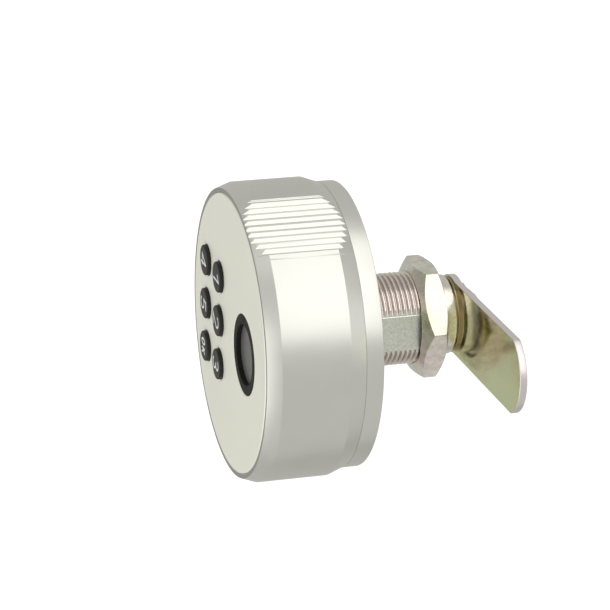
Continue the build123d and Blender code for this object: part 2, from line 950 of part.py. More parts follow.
with BuildPart() as lock_bolt:
    with BuildSketch(level(bolt_rear)):
        with Locations((0, bolt_z)):
            Rectangle(bolt_w, bolt_h)
    extrude(amount=bolt_len)
    chamfer(lock_bolt.faces().sort_by(Axis.Y)[-1].edges(), bolt_edge)
    with BuildSketch(level(bolt_rear - bolt_end)):
        with Locations((0, bolt_z)):
            Circle(lead_r + slip)
    extrude(amount=bolt_len - bolt_end, mode=Mode.SUBTRACT)
save(lock_bolt, "lock_bolt")

# Spindle: flange in the chassis, shaft through the neck, square end for the cam

spindle_head = sink(flush_m2, chassis_rear)
with BuildPart() as spindle:
    with BuildSketch(Plane.XY):
        with BuildLine():
            Polyline(
                (0, chassis_rear - spindle_flange_t),
                (spindle_flange_r, chassis_rear - spindle_flange_t),
                (spindle_flange_r, chassis_rear),
                (shaft_r, chassis_rear),
                (shaft_r, shoulder),
                (0, shoulder),
                close=True,
            )
        make_face()
    revolve(axis=Axis.Y)
    with BuildSketch(level(shoulder, spindle_turn)):
        Rectangle(square_af, square_af)
    extrude(amount=shoulder - square_end)
    with BuildSketch(level(square_end)):
        Circle(pan_m5[0] + hole_play)
    extrude(amount=cam_screw_len, mode=Mode.SUBTRACT)
    with Locations(*deep(spindle_spots)):
        add(spindle_head, mode=Mode.SUBTRACT)
save(spindle, "spindle")

spindle_screw = screw("flush", flush_m2, chassis_rear, spindle_screw_len)
with BuildPart() as spindle_screws:
    with Locations(*deep(spindle_spots)):
        add(spindle_screw)
save(spindle_screws, "spindle_screws")

# Stop washer: thin rim, with a raised hub that the cam sits on

with BuildPart() as stop_washer:
    with BuildSketch(level(shoulder + seat + stop_rim_t)):
        Circle(stop_r)
    extrude(amount=stop_rim_t)
    with BuildSketch(level(cam_front - seat)):
        Circle(stop_hub_r)
    extrude(amount=cam_front - shoulder - 2 * seat)
    with BuildSketch(level(cam_front, spindle_turn)):
        Rectangle(square_af + 2 * square_play, square_af + 2 * square_play)
    extrude(amount=cam_front - shoulder, mode=Mode.SUBTRACT)
save(stop_washer, "stop_washer")

# Cam: flat strip with a round hub end and a bowed tip, upright at rest

half_w = cam_w / 2
hub_z = sqrt(cam_hub_r**2 - half_w**2)
tip_z = cam_len - cam_tip_r + sqrt(cam_tip_r**2 - half_w**2)
with BuildPart() as cam:
    with BuildSketch(level(cam_back, spindle_turn)):
        with BuildLine():
            ThreePointArc((-half_w, hub_z), (0, -cam_hub_r), (half_w, hub_z))
            Line((half_w, hub_z), (half_w, tip_z))
            ThreePointArc((half_w, tip_z), (0, cam_len), (-half_w, tip_z))
            Line((-half_w, tip_z), (-half_w, hub_z))
        make_face()
        Rectangle(square_af + 2 * square_play, square_af + 2 * square_play, mode=Mode.SUBTRACT)
    extrude(amount=cam_t)
    front_rim = cam.faces().sort_by(Axis.Y)[0].outer_wire().edges()
    chamfer(front_rim, cam_edge)
save(cam, "cam")

# Toothed lock washer and the pan head screw that hold the cam

with BuildPart() as lock_washer:
    with BuildSketch(level(lock_back)):
        Circle(tooth_root_r)
        with PolarLocations((tooth_root_r + tooth_r) / 2, tooth_count, start_angle=tooth_start):
            Rectangle(tooth_r - tooth_root_r + 2 * slip, tooth_w)
        Circle(pan_m5[0] + slip, mode=Mode.SUBTRACT)
    extrude(amount=lock_washer_t)
save(lock_washer, "lock_washer")

with BuildPart() as cam_screw:
    add(screw("pan", pan_m5, lock_back + seat, cam_screw_len))
save(cam_screw, "cam_screw")
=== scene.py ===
"""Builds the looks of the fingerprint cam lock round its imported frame."""

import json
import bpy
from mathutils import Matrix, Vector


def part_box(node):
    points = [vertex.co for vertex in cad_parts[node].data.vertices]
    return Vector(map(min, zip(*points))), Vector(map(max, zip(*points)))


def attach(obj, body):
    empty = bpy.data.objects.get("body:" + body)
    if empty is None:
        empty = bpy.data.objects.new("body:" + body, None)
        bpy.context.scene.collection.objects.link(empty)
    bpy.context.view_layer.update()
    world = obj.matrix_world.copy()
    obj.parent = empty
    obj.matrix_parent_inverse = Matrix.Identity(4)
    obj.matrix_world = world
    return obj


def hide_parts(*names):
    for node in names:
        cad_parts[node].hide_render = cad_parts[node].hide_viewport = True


bl_info = {
    "name": "Fingerprint Cam Lock",
    "version": (1, 0, 0),
    "blender": (4, 5, 0),
    "location": "3D View > Sidebar > Cam Lock",
    "description": "Makes the knob, buttons, sensor, neck, nut and cam of a fingerprint lock",
    "category": "Object",
}

from math import acos, atan2, cos, hypot, pi, radians, sin, sqrt, tan

import bmesh
import bpy
from bpy.props import FloatProperty, FloatVectorProperty, IntProperty, PointerProperty
from mathutils import Matrix, Vector

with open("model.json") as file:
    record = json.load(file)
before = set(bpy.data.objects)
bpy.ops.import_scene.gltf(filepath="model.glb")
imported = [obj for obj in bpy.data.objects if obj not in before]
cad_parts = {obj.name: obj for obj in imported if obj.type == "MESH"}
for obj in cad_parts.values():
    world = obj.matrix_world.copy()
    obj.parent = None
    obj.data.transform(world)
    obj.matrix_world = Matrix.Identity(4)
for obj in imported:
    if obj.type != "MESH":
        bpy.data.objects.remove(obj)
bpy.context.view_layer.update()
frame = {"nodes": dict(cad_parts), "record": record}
MM = 0.001
NEAR_ZERO = 1e-6
KEYS = (("button_1", "1"), ("button_2", "2"), ("button_3", "3"),
        ("button_4", "4"), ("button_5", "5"), ("button_ok", "OK"))


def low(node):
    """Lowest corner of a CAD node, in metres."""
    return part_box(node)[0]


def high(node):
    """Highest corner of a CAD node, in metres."""
    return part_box(node)[1]


def depths(node):
    """Front and rear of a CAD node along the lock's axis."""
    return low(node).y, high(node).y


def centre(node):
    """Middle of a CAD node's box."""
    return (low(node) + high(node)) / 2


def half_width(node):
    """Radius of a round CAD node that may lie beside the axis."""
    return (high(node).x - low(node).x) / 2


def size(text, millimetres, description):
    """A length that a user may change, kept in metres."""
    return FloatProperty(name=text, description=description, default=millimetres * MM, min=0.0,
                         unit="LENGTH", subtype="DISTANCE", precision=6)


def colour(text, default, description):
    """A surface colour that a user may change."""
    return FloatVectorProperty(name=text, description=description, default=default, size=3,
                               min=0.0, max=1.0, subtype="COLOR")


def angle(text, degrees, description):
    """An angle that a user may change, kept in radians."""
    return FloatProperty(name=text, description=description, default=radians(degrees),
                         unit="ROTATION", subtype="ANGLE")


def number(text, default, description):
    """A plain factor that a user may change."""
    return FloatProperty(name=text, description=description, default=default)


class LockKnobSizes(bpy.types.PropertyGroup):
    """Sizes of the turned knob, its ring and its face plate."""

    band_r: size("Band radius", high("knob_housing").z / MM, "Radius of the knob's plain band")
    lip_r: size("Lip radius", 29.0, "Radius where the front chamfer ends")
    chamfer_len: size("Chamfer length", 2.8, "Depth of the front chamfer along the axis")
    taper_len: size("Taper length", 3.23, "Depth of the rear taper along the axis")
    wall: size("Wall", 3.0, "Wall of the housing")
    ledge_w: size("Ledge width", 1.2, "How far the inner ledge stands in")
    ledge_t: size("Ledge thickness", 1.2, "Thickness of the inner ledge")
    plate_gap: size("Gap", 0.1, "Gap round the face plate, the buttons and the neck")
    plate_t: size("Plate thickness", 2.0, "Thickness of the face plate")
    plate_edge: size("Plate edge", 0.25, "Rounding of the face plate's rim")
    edge: size("Edge", 0.12, "Rounding of machined edges")
    grip_angle: angle("Grip angle", 64.06, "Place of the first grip patch, from the top")
    grip_shift: size("Grip shift", 0.44, "How far the grooves lie off the chord's middle")
    grip_depth: size("Grip depth", 1.23, "Depth of the grooves under the band")
    grip_pitch: size("Grip pitch", 1.565, "Spacing of the grooves along the chord")
    grip_slope: angle("Grip slope", 31.0, "Slope of a groove's flanks")
    grip_count: IntProperty(name="Grooves", description="Grooves in a grip patch", default=11,
                            min=1)
    pillar_r: size("Pillar radius", 2.6, "Radius of the housing's screw pillars")
    pillar_in: size("Pillar inset", 2.4, "How far the pillars stand in from the wall")
    stud_r: size("Stud radius", 2.0, "Radius of the studs behind the face plate")
    ring_gap: size("Ring gap", 0.05, "Visible gap between the housing and the ring")
    ring_edge: size("Ring edge", 0.2, "Rounding of the base ring's rear edge")
    ring_wall: size("Ring wall", 2.4, "Wall of the base ring")
    ring_floor: size("Ring floor", 2.0, "Thickness of the base ring's floor")


class LockKeySizes(bpy.types.PropertyGroup):
    """Sizes of the buttons and the sensor."""

    cap_r: size("Cap radius", 3.15, "Radius of a button's cap")
    cap_edge: size("Cap edge", 0.3, "Rounding round a button's cap")
    cap_dome: size("Cap dome", 0.05, "How far a cap's middle stands over its edge")
    flange_t: size("Flange", 0.6, "Thickness of a button's flange")
    stem_r: size("Stem radius", 1.5, "Radius of a button's stem")
    print_h: size("Print height", 4.5, "Height of the printed numerals")
    print_w: size("Print width", 2.9, "Width of a printed numeral")
    print_line: size("Print line", 0.42, "Width of the printed lines")
    print_t: size("Print thickness", 0.012, "How far the print stands out")
    bezel_r: size("Bezel radius", 8.05, "Radius of the sensor's bezel")
    window_r: size("Window radius", 6.05, "Radius of the sensor's window")
    window_edge: size("Window edge", 0.2, "Rounding of the bezel's edges")


class LockRearSizes(bpy.types.PropertyGroup):
    """Sizes of the neck, the nut and the cam."""

    crest_r: size("Crest radius", 9.35, "Radius of the thread's crests")
    pitch: size("Pitch", 1.0, "Pitch of the neck's thread")
    flat: size("Half flats", 8.1, "Distance of the neck's flats from the axis")
    flat_line: size("Flat line", 3.4, "Where the milled step runs along the flat")
    flat_step: size("Flat step", 0.15, "Height of the milled step on the flat")
    lead: size("Thread lead", 0.7, "Lead-in chamfer at the thread's end")
    collar_r: size("Collar radius", 8.05, "Radius of the plain collar")
    collar_len: size("Collar length", 3.15, "Length of the plain collar")
    collar_edge: size("Collar edge", 0.25, "Rounding of the collar's rear edge")
    bore_r: size("Bore radius", 6.0, "Radius of the neck's bore")
    nut_af: size("Across flats", 22.0, "Nut size across its flats")
    nut_turn: angle("Nut turn", 2.0, "Turn of a nut's corner from the top")
    nut_face: size("Nut face", 9.8, "Radius of the nut's front bearing face")
    nut_slope: angle("Nut chamfer", 30.0, "Slope of the nut's chamfers")
    nut_play: size("Nut play", 0.05, "Gap between the thread's crests and the nut's bore")
    nut_edge: size("Nut edge", 0.08, "How far the nut's corners are eased")
    cam_w: size("Cam width", 15.1, "Width of the cam")
    cam_hub_r: size("Hub radius", 8.0, "Radius of the cam's hub end")
    cam_tip_r: size("Tip radius", 8.4, "Radius of the cam's tip")
    cam_len: size("Cam length", 41.8, "From the axis to the cam's tip")
    cam_edge: size("Cam edge", 0.14, "Rounding of the cam's stamped edges")
    cam_turn: angle("Cam turn", 1.3, "Turn of the cam from the top")
    square: size("Square", 8.0, "Size of the square the cam sits on")
    square_play: size("Square play", 0.1, "Gap round the square")
    washer_edge: size("Washer edge", 0.04, "Rounding of the stop washer's edges")
    hub_r: size("Stop hub", 6.6, "Radius of the stop washer's hub")
    rim_t: size("Stop rim", 0.62, "Thickness of the stop washer's rim")


class LockColours(bpy.types.PropertyGroup):
    """Colours of the finishes."""

    aluminium: colour("Aluminium", (0.72, 0.72, 0.665), "Satin turned aluminium")
    # The lip colour below is painted shade: the dark line round the face plate, painted on the
    # housing's flat lip
    shaded: colour("Shaded lip", (0.38, 0.38, 0.355), "Housing's lip, faced off across the axis")
    plate: colour("Face plate", (0.92, 0.93, 0.81), "Fine blasted face plate")
    zinc: colour("Zinc", (0.84, 0.80, 0.72), "Plain zinc plate")
    zinc_pink: colour("Pink tint", (0.84, 0.72, 0.68), "Pink bloom in the zinc plate")
    zinc_green: colour("Green tint", (0.70, 0.71, 0.58), "Green bloom in the zinc plate")
    # Thread root and crest below are painted light: painted shade in the thread's roots, a
    # painted highlight on its crests
    root: colour("Thread root", (0.52, 0.44, 0.42), "Brown purple shade in the thread's roots")
    crest: colour("Thread crest", (0.96, 0.90, 0.82), "Pink bloom on the thread's crests")
    flat: colour("Neck flat", (0.75, 0.77, 0.69), "Grey green of the milled flats")
    # The step's colour below is a painted highlight along the real milled step
    step_highlight: colour("Flat step", (0.95, 0.95, 0.92), "Bright step along the milled flats")
    cam_olive: colour("Cam olive", (0.52, 0.48, 0.24), "Main colour of the yellow zinc plate")
    cam_gold: colour("Cam gold", (0.80, 0.68, 0.34), "Gold bloom on the cam")
    # The cam's green also paints a reflection towards its tip; the cam's shade, glint and pink
    # below are painted reflections on its face
    cam_green: colour("Cam green", (0.66, 0.71, 0.40), "Green bloom on the cam")
    cam_dark_reflection: colour("Cam shade", (0.24, 0.23, 0.12), "Dark olive band across the cam")
    cam_glint: colour("Cam glint", (1.0, 0.93, 0.70), "Pale gold beside the cam's hub")
    washer: colour("Washer edge", (0.38, 0.30, 0.20), "Brown gold edge of the stop washer")
    cam_pink_reflection: colour("Cam pink", (0.64, 0.48, 0.38), "Pink bloom on the cam")
    cam_side: colour("Cam edge", (0.78, 0.72, 0.71), "Sheared edges of the cam")
    key: colour("Button", (0.024, 0.024, 0.022), "Charcoal button faces")
    # The button sides' colour below is painted shade, darker than the cap faces
    key_side_shade: colour("Button side", (0.010, 0.010, 0.008), "Darker sides of the buttons")
    bezel: colour("Bezel", (0.012, 0.012, 0.010), "Charcoal bezel")
    sensor: colour("Sensor", (0.11, 0.11, 0.10), "Sensor pad")
    ink: colour("Print", (0.80, 0.80, 0.78), "Printed numerals")


class LockStage(bpy.types.PropertyGroup):
    """Camera distance, floor and lamps."""

    lens: FloatProperty(name="Lens", description="Focal length", default=163.59, unit="CAMERA")
    floor_z: FloatProperty(name="Floor", description="Height of the floor", default=-0.16,
                           unit="LENGTH", subtype="DISTANCE")
    sky: number("Sky", 0.63, "Strength of the even studio light")
    lamp_distance: FloatProperty(name="Lamp distance", default=0.9, unit="LENGTH",
                                 description="From the lock to each soft box",
                                 subtype="DISTANCE")
    key_light: number("Key", 0.98, "Brightness of the soft box above")
    side_light: number("Side", 0.90, "Brightness of the soft box at the side")
    front_light: number("Front", 1.05, "Brightness of the soft box in front of the plate")
    top_light: number("Top", 0.70, "Brightness of the soft box above the plate")
    rear_light: number("Rear", 0.34, "Brightness of the soft box behind")
    low_light: number("Low", 0.27, "Brightness of the soft box in front at the side")


def eased(points, radius, steps=3):
    """The open outline with its corners rounded by small arcs."""
    longest = 1 / 2.2
    out = [points[0]]
    for before, corner, after in zip(points, points[1:], points[2:]):
        c = Vector(corner)
        a = Vector(before) - c
        b = Vector(after) - c
        half = a.angle(b) / 2
        reach = min(radius / tan(half), a.length * longest, b.length * longest)
        p = c + a.normalized() * reach
        q = c + b.normalized() * reach
        for i in range(steps + 1):
            t = i / steps
            out.append(tuple(p * (1 - t) ** 2 + c * 2 * t * (1 - t) + q * t * t))
    out.append(points[-1])
    return out


def flat_reach(height, a):
    """Distance from the axis to a pair of level flats, at an angle from the top."""
    return height / max(abs(cos(a)), NEAR_ZERO)


def clipped(points, limit):
    """The outline cut down to a radius: what is higher moves to where it crosses."""
    run = [i for i, (r, _) in enumerate(points) if r > limit]
    if not run:
        return points
    first, last = run[0], run[-1]
    ends = []
    for inner, outer in ((first - 1, first), (last + 1, last)):
        (r0, y0), (r1, y1) = points[inner], points[outer]
        ends.append((limit, y0 + (y1 - y0) * (limit - r0) / (r1 - r0)))
    middle = (ends[0][1] + ends[1][1]) / 2
    rising = ends[0][1] > ends[1][1]
    out = list(points)
    for i in range(first, last + 1):
        near_first = (points[i][1] > middle) == rising
        out[i] = ends[0] if near_first else ends[1]
    return out


def turn_angles(count, extra=()):
    """Angles round a full turn, with extra ones where an edge falls."""
    step = 2 * pi / count
    angles = [i * step for i in range(count)]
    extra = [a % (2 * pi) for a in extra]
    angles = [a for a in angles if all(abs(a - e) > step / 8 for e in extra)]
    return sorted(set(angles + extra))


def skin(bm, here, there):
    """Faces between two closed rows of points."""
    for i in range(len(here)):
        j = (i + 1) % len(here)
        bm.faces.new((here[i], here[j], there[j], there[i]))


def lathe(bm, column, angles, at=(0.0, 0.0)):
    """Turns a closed outline about the lock's axis, or one beside it.

    column(a) gives the outline's points (radius, y) at an angle from the top.
    """
    rows = [[bm.verts.new((at[0] - r * sin(a), y, at[1] + r * cos(a))) for r, y in column(a)]
            for a in list(angles) + [angles[0] + 2 * pi]]
    for here, there in zip(rows, rows[1:]):
        skin(bm, here, there)


def even(points):
    """A column that is the same all round."""
    return lambda a: points


def crease_flats(mesh):
    """Keeps the light even over the flat faces across the axis."""
    square_on = 0.9995
    sides = {}
    for face in mesh.polygons:
        for key in face.edge_keys:
            sides.setdefault(key, []).append(abs(face.normal.y) > square_on)
    for edge in mesh.edges:
        if len(set(sides.get(edge.key, []))) == 2:
            edge.use_edge_sharp = True


def stand(name, data):
    """An object of the scene made from a mesh, a lamp or a camera."""
    thing = bpy.data.objects.new(name, data)
    bpy.context.scene.collection.objects.link(thing)
    return thing


def add_piece(name, mesh, material, body, nodes=(), sharp=22.0):
    """Puts a finished mesh on its body, with its material and the nodes it stands for."""
    mesh.name = name
    mesh.materials.clear()
    mesh.materials.append(material)
    mesh.shade_smooth()
    mesh.set_sharp_from_angle(angle=radians(sharp))
    crease_flats(mesh)
    piece = stand(name, mesh)
    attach(piece, body)
    if nodes:
        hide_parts(*nodes)
    return piece


def mesh_from(bm):
    """A mesh with its seams joined, no faces without area and its normals outwards."""
    merge = 0.0002 * MM
    bmesh.ops.remove_doubles(bm, verts=bm.verts, dist=merge)
    bmesh.ops.dissolve_degenerate(bm, edges=bm.edges, dist=merge)
    loose = [v for v in bm.verts if not v.link_faces]
    bmesh.ops.delete(bm, geom=loose, context="VERTS")
    bmesh.ops.recalc_face_normals(bm, faces=bm.faces)
    mesh = bpy.data.meshes.new("piece")
    bm.to_mesh(mesh)
    bm.free()
    return mesh


def circle(radius, count, at=(0.0, 0.0)):
    """Points (x, z) of a circle."""
    turns = [2 * pi * i / count for i in range(count)]
    return [(at[0] + radius * cos(t), at[1] + radius * sin(t)) for t in turns]


def stamped(outlines, front, back, edge, turn=0.0):
    """Mesh of a flat plate with holes, with rounded edges, between two depths."""
    curve = bpy.data.curves.new("stamping", "CURVE")
    curve.dimensions = "2D"
    curve.fill_mode = "BOTH"
    curve.extrude = (back - front) / 2 - edge
    curve.bevel_depth = edge
    curve.bevel_resolution = 2
    curve.offset = -edge
    for points in outlines:
        spline = curve.splines.new("POLY")
        spline.points.add(len(points) - 1)
        for point, (x, z) in zip(spline.points, points):
            point.co = (x, z, 0.0, 1.0)
        spline.use_cyclic_u = True
    holder = bpy.data.objects.new("stamping", curve)
    mesh = bpy.data.meshes.new_from_object(holder)
    mesh.transform(Matrix.Translation((0.0, (front + back) / 2, 0.0))
                   @ Matrix.Rotation(-turn, 4, "Y") @ Matrix.Rotation(pi / 2, 4, "X"))
    bpy.data.objects.remove(holder)
    bpy.data.curves.remove(curve)
    return mesh


def turned(column, angles, at=(0.0, 0.0)):
    """Mesh of an outline turned about an axis."""
    bm = bmesh.new()
    lathe(bm, column, angles, at)
    return mesh_from(bm)


def post(radius, front, back):
    """Outline of a plain round post."""
    return [(0.0, front), (radius, front), (radius, back), (0.0, back)]


def feed(tree, socket, value):
    """Links an output to a socket, or sets the socket's own value."""
    if isinstance(value, bpy.types.NodeSocket):
        tree.links.new(value, socket)
    elif socket.type == "RGBA":
        socket.default_value = (*value, 1.0)[:4]
    else:
        socket.default_value = value


def add_node(tree, kind, settings=None, **inputs):
    """A node with its settings, and its inputs set or linked by name or, as i0, by number."""
    node = tree.nodes.new(kind)
    for name, value in (settings or {}).items():
        setattr(node, name, value)
    for name, value in inputs.items():
        numbered = name[0] == "i" and name[1:].isdigit()
        feed(tree, node.inputs[int(name[1:]) if numbered else name.replace("_", " ")], value)
    return node


def maths(tree, operation, *values, kind="ShaderNodeMath", output="Value"):
    """The outcome of a sum, its values given or linked."""
    node = add_node(tree, kind, {"operation": operation})
    for socket, value in zip(node.inputs, values):
        feed(tree, socket, value)
    return node.outputs[output]


def vector_maths(tree, operation, *values, output="Vector"):
    """The outcome of a sum on vectors."""
    return maths(tree, operation, *values, kind="ShaderNodeVectorMath", output=output)


def ranged(tree, value, start, end, first=0.0, last=1.0, blend="LINEAR"):
    """A value mapped from one range onto another."""
    return add_node(tree, "ShaderNodeMapRange", {"interpolation_type": blend}, Value=value,
                    From_Min=start, From_Max=end, To_Min=first, To_Max=last).outputs["Result"]


def spread(tree, mask, first, last):
    """A noise, which keeps near its middle, mapped onto a range of values."""
    return ranged(tree, mask, 0.3, 0.7, first, last)


def from_axis(tree, place):
    """Distance of a place from the Y axis."""
    across = vector_maths(tree, "MULTIPLY", place, (1.0, 0.0, 1.0))
    return vector_maths(tree, "LENGTH", across, output="Value")


def mixed(tree, mask, first, second):
    """One colour where the mask is 0 and another where it is 1."""
    return add_node(tree, "ShaderNodeMix", {"data_type": "RGBA"}, i0=mask, i6=first,
                    i7=second).outputs[2]


def shade(tree, tone, mask, dark, light):
    """A colour made a little darker and lighter by a soft mask."""
    return add_node(tree, "ShaderNodeVectorMath", {"operation": "SCALE"}, i0=tone,
                    Scale=spread(tree, mask, dark, light)).outputs["Vector"]


def shared_group(name, inputs, outputs):
    """Makes the decorated function's shader group once, and finds it again after that.

    An input without a default is a vector, and one with four values is a colour.
    """
    kinds = {type(None): "NodeSocketVector", float: "NodeSocketFloat", tuple: "NodeSocketColor"}

    def decorate(build):
        def found_or_built():
            if name in bpy.data.node_groups:
                return bpy.data.node_groups[name]
            tree = bpy.data.node_groups.new(name, "ShaderNodeTree")
            for label, default in inputs.items():
                socket = tree.interface.new_socket(name=label, in_out="INPUT",
                                                   socket_type=kinds[type(default)])
                if default is not None:
                    socket.default_value = default
            for label, kind in outputs.items():
                tree.interface.new_socket(name=label, in_out="OUTPUT", socket_type=kind)
            build(tree, tree.nodes.new("NodeGroupInput").outputs,
                  tree.nodes.new("NodeGroupOutput").inputs)
            return tree
        return found_or_built
    return decorate


@shared_group("Surface Grain", {"Vector": None, "Scale": 4000.0, "Mottle Scale": 120.0},
              {"Height": "NodeSocketFloat", "Mottle": "NodeSocketFloat"})
def grain_group(tree, given, out):
    """Fine blasted or moulded grain, and a soft mottle many times larger."""
    for scale, detail, rough, label in (("Scale", 3.0, 0.6, "Height"),
                                        ("Mottle Scale", 5.0, 0.55, "Mottle")):
        noise = add_node(tree, "ShaderNodeTexNoise", Vector=given["Vector"],
                         Scale=given[scale], Detail=detail, Roughness=rough)
        tree.links.new(noise.outputs["Fac"], out[label])


@shared_group("Turning Marks", {"Vector": None, "Density": 6000.0},
              {"Height": "NodeSocketFloat"})
def turning_group(tree, given, out):
    """Fine rings that a lathe leaves round the lock's axis."""
    split = add_node(tree, "ShaderNodeSeparateXYZ", Vector=given["Vector"])
    along = maths(tree, "ADD", split.outputs["Y"], from_axis(tree, given["Vector"]))
    dense = maths(tree, "MULTIPLY", along, given["Density"])
    rings = add_node(tree, "ShaderNodeTexNoise", {"noise_dimensions": "1D"}, W=dense,
                     Scale=1.0, Detail=2.0)
    tree.links.new(rings.outputs["Fac"], out["Height"])


@shared_group("Passivation Bloom",
              {"Vector": None, "Scale": 160.0, "Plain": (0.6, 0.6, 0.6, 1.0),
               "First": (0.7, 0.6, 0.6, 1.0), "Second": (0.5, 0.6, 0.5, 1.0), "Amount": 0.6},
              {"Color": "NodeSocketColor", "Mask": "NodeSocketFloat"})
def bloom_group(tree, given, out):
    """Passivated zinc: soft blooms of two tints over a plain colour."""
    moved = vector_maths(tree, "ADD", given["Vector"], (0.31, 0.17, 0.53))
    tone, masks = given["Plain"], []
    for place, tint in ((given["Vector"], "First"), (moved, "Second")):
        noise = add_node(tree, "ShaderNodeTexNoise", Vector=place, Scale=given["Scale"],
                         Detail=3.0, Roughness=0.5, Distortion=0.6)
        patch = ranged(tree, noise.outputs["Fac"], 0.42, 0.62)
        masks.append(maths(tree, "MULTIPLY", patch, given["Amount"]))
        tone = mixed(tree, masks[-1], tone, given[tint])
    tree.links.new(tone, out["Color"])
    tree.links.new(masks[0], out["Mask"])


@shared_group("Facing", {"Normal": None}, {"Along": "NodeSocketFloat"})
def facing_group(tree, given, out):
    """How far a surface faces along the lock's axis, from 0 to 1."""
    split = add_node(tree, "ShaderNodeSeparateXYZ", Vector=given["Normal"])
    tree.links.new(maths(tree, "ABSOLUTE", split.outputs["Y"]), out["Along"])


def add_group(tree, group, **inputs):
    """Outputs of a shared group, with its inputs set or linked."""
    return add_node(tree, "ShaderNodeGroup", {"node_tree": group}, **inputs).outputs


def grained(tree, place, fine, coarse):
    """Height of the fine grain and the soft mottle, by their densities."""
    group = add_group(tree, grain_group(), Vector=place, Scale=fine, Mottle_Scale=coarse)
    return group["Height"], group["Mottle"]


def zinc_bloom(tree, place, scale, amount):
    """Colour of clear passivated zinc with faint pink and green blooms."""
    colours = bpy.context.scene.lock_colours
    return add_group(tree, bloom_group(), Vector=place, Scale=scale, Amount=amount,
                     Plain=colours.zinc, First=colours.zinc_pink,
                     Second=colours.zinc_green)["Color"]


def facing(tree, start, end):
    """A mask of the surfaces that face along the lock's axis."""
    normal = tree.nodes.new("ShaderNodeTexCoord").outputs["Normal"]
    return ranged(tree, add_group(tree, facing_group(), Normal=normal)["Along"], start, end)


def made_once(make):
    """Makes a material when its name first comes up, and finds it again after that."""
    def found_or_made(name, *values, **options):
        return bpy.data.materials.get(name) or make(name, *values, **options)
    return found_or_made


def new_material(name):
    """A node material with its tree and object coordinates."""
    material = bpy.data.materials.new(name)
    material.use_nodes = True
    tree = material.node_tree
    return material, tree, tree.nodes.new("ShaderNodeTexCoord").outputs["Object"]


def finish(material, base, rough, height, strength, depth, metallic=1.0):
    """Feeds a material's shader its colour, its roughness and a fine relief."""
    tree = material.node_tree
    shader = tree.nodes["Principled BSDF"]
    bump = add_node(tree, "ShaderNodeBump", Strength=strength, Distance=depth, Height=height)
    for label, value in (("Base Color", base), ("Roughness", rough), ("Metallic", metallic),
                         ("Normal", bump.outputs["Normal"])):
        feed(tree, shader.inputs[label], value)
    return material


@made_once
def satin_aluminium(name, shaded=None):
    """Turned and finely blasted aluminium, with painted shade on the faces across the axis when
    a shade colour is given.
    """
    material, tree, place = new_material(name)
    height, mottle = grained(tree, place, 5200.0, 90.0)
    marks = add_group(tree, turning_group(), Vector=place, Density=7000.0)
    tone = bpy.context.scene.lock_colours.aluminium
    # Painted shade: faces across the axis, the lip round the face plate among them, take the
    # dark lip colour
    if shaded is not None:
        tone = mixed(tree, facing(tree, 0.9, 0.98), tone, shaded)
    relief = maths(tree, "MULTIPLY_ADD", marks["Height"], 0.5, height)
    return finish(material, shade(tree, tone, mottle, 0.97, 1.02),
                  spread(tree, mottle, 0.30, 0.36), relief, 0.08, 0.02 * MM)


@made_once
def plate_aluminium(name):
    """Fine blasted, anodised aluminium of the face plate."""
    material, tree, place = new_material(name)
    height, mottle = grained(tree, place, 6500.0, 45.0)
    tone = shade(tree, bpy.context.scene.lock_colours.plate, mottle, 0.985, 1.01)
    return finish(material, tone, spread(tree, mottle, 0.42, 0.47), height, 0.10, 0.02 * MM,
                  metallic=0.35)


@made_once
def plated_zinc(name, rough=0.27, amount=0.75):
    """Clear passivated zinc plate, mottled and bloomed."""
    material, tree, place = new_material(name)
    height, mottle = grained(tree, place, 3800.0, 700.0)
    tone = shade(tree, zinc_bloom(tree, place, 110.0, amount), mottle, 0.82, 1.12)
    return finish(material, tone, spread(tree, mottle, rough, rough + 0.12), height, 0.18,
                  0.03 * MM)


def thread_depth(sizes):
    """Depth of the neck's metric thread."""
    return 5 / 16 * sizes.pitch / tan(radians(30))


@made_once
def neck_zinc(name):
    """Zinc plate of the neck: painted highlight on the crests, painted shade in the roots, dull
    speckled flats and a painted highlight along their step.
    """
    colours, sizes = bpy.context.scene.lock_colours, bpy.context.scene.lock_rear
    material, tree, place = new_material(name)
    height, _ = grained(tree, place, 3000.0, 900.0)
    split = add_node(tree, "ShaderNodeSeparateXYZ", Vector=place)
    soft = 0.02 * MM
    thread_end = high("threaded_neck").y - sizes.collar_len
    thread = ranged(tree, split.outputs["Y"], thread_end + soft, thread_end - soft)
    # Painted light: from the roots out to the crests the colour runs from painted shade to
    # painted highlight
    crest = ranged(tree, from_axis(tree, place), sizes.crest_r - thread_depth(sizes),
                   sizes.crest_r)
    tooth = mixed(tree, crest, colours.root, colours.crest)
    body = mixed(tree, thread, zinc_bloom(tree, place, 240.0, 0.8), tooth)
    level = maths(tree, "ABSOLUTE", split.outputs["Z"])
    low_flat = sizes.flat - sizes.flat_step
    flat = ranged(tree, level, low_flat - 2 * soft, low_flat - soft)
    milled = maths(tree, "MULTIPLY", flat, thread)
    step_middle, step_reach = sizes.flat - sizes.flat_step / 2, 0.45 * sizes.flat_step
    # Painted highlight: the milled step along each flat takes a bright colour
    step = maths(tree, "COMPARE", level, step_middle, step_reach)
    tone = mixed(tree, milled, body, mixed(tree, step, colours.flat, colours.step_highlight))
    return finish(material, shade(tree, tone, height, 0.80, 1.16),
                  ranged(tree, milled, 0.0, 1.0, 0.24, 0.42), height, 0.25, 0.03 * MM)


# Edges of the cam's painted reflections, pink, green and a dark band: each mask runs along Z
# or across X from where it begins to where it is full, in millimetres
CAM_REFLECTIONS = {
    "green end": ("Z", 17.0, 26.0), "green side": ("X", -3.0, 3.0),
    "pink start": ("Z", 11.0, 16.0), "pink end": ("Z", 22.0, 34.0),
    "shade start": ("Z", 12.5, 15.5), "shade end": ("Z", 19.5, 16.0),
    "shade side": ("X", 3.0, -1.0),
}
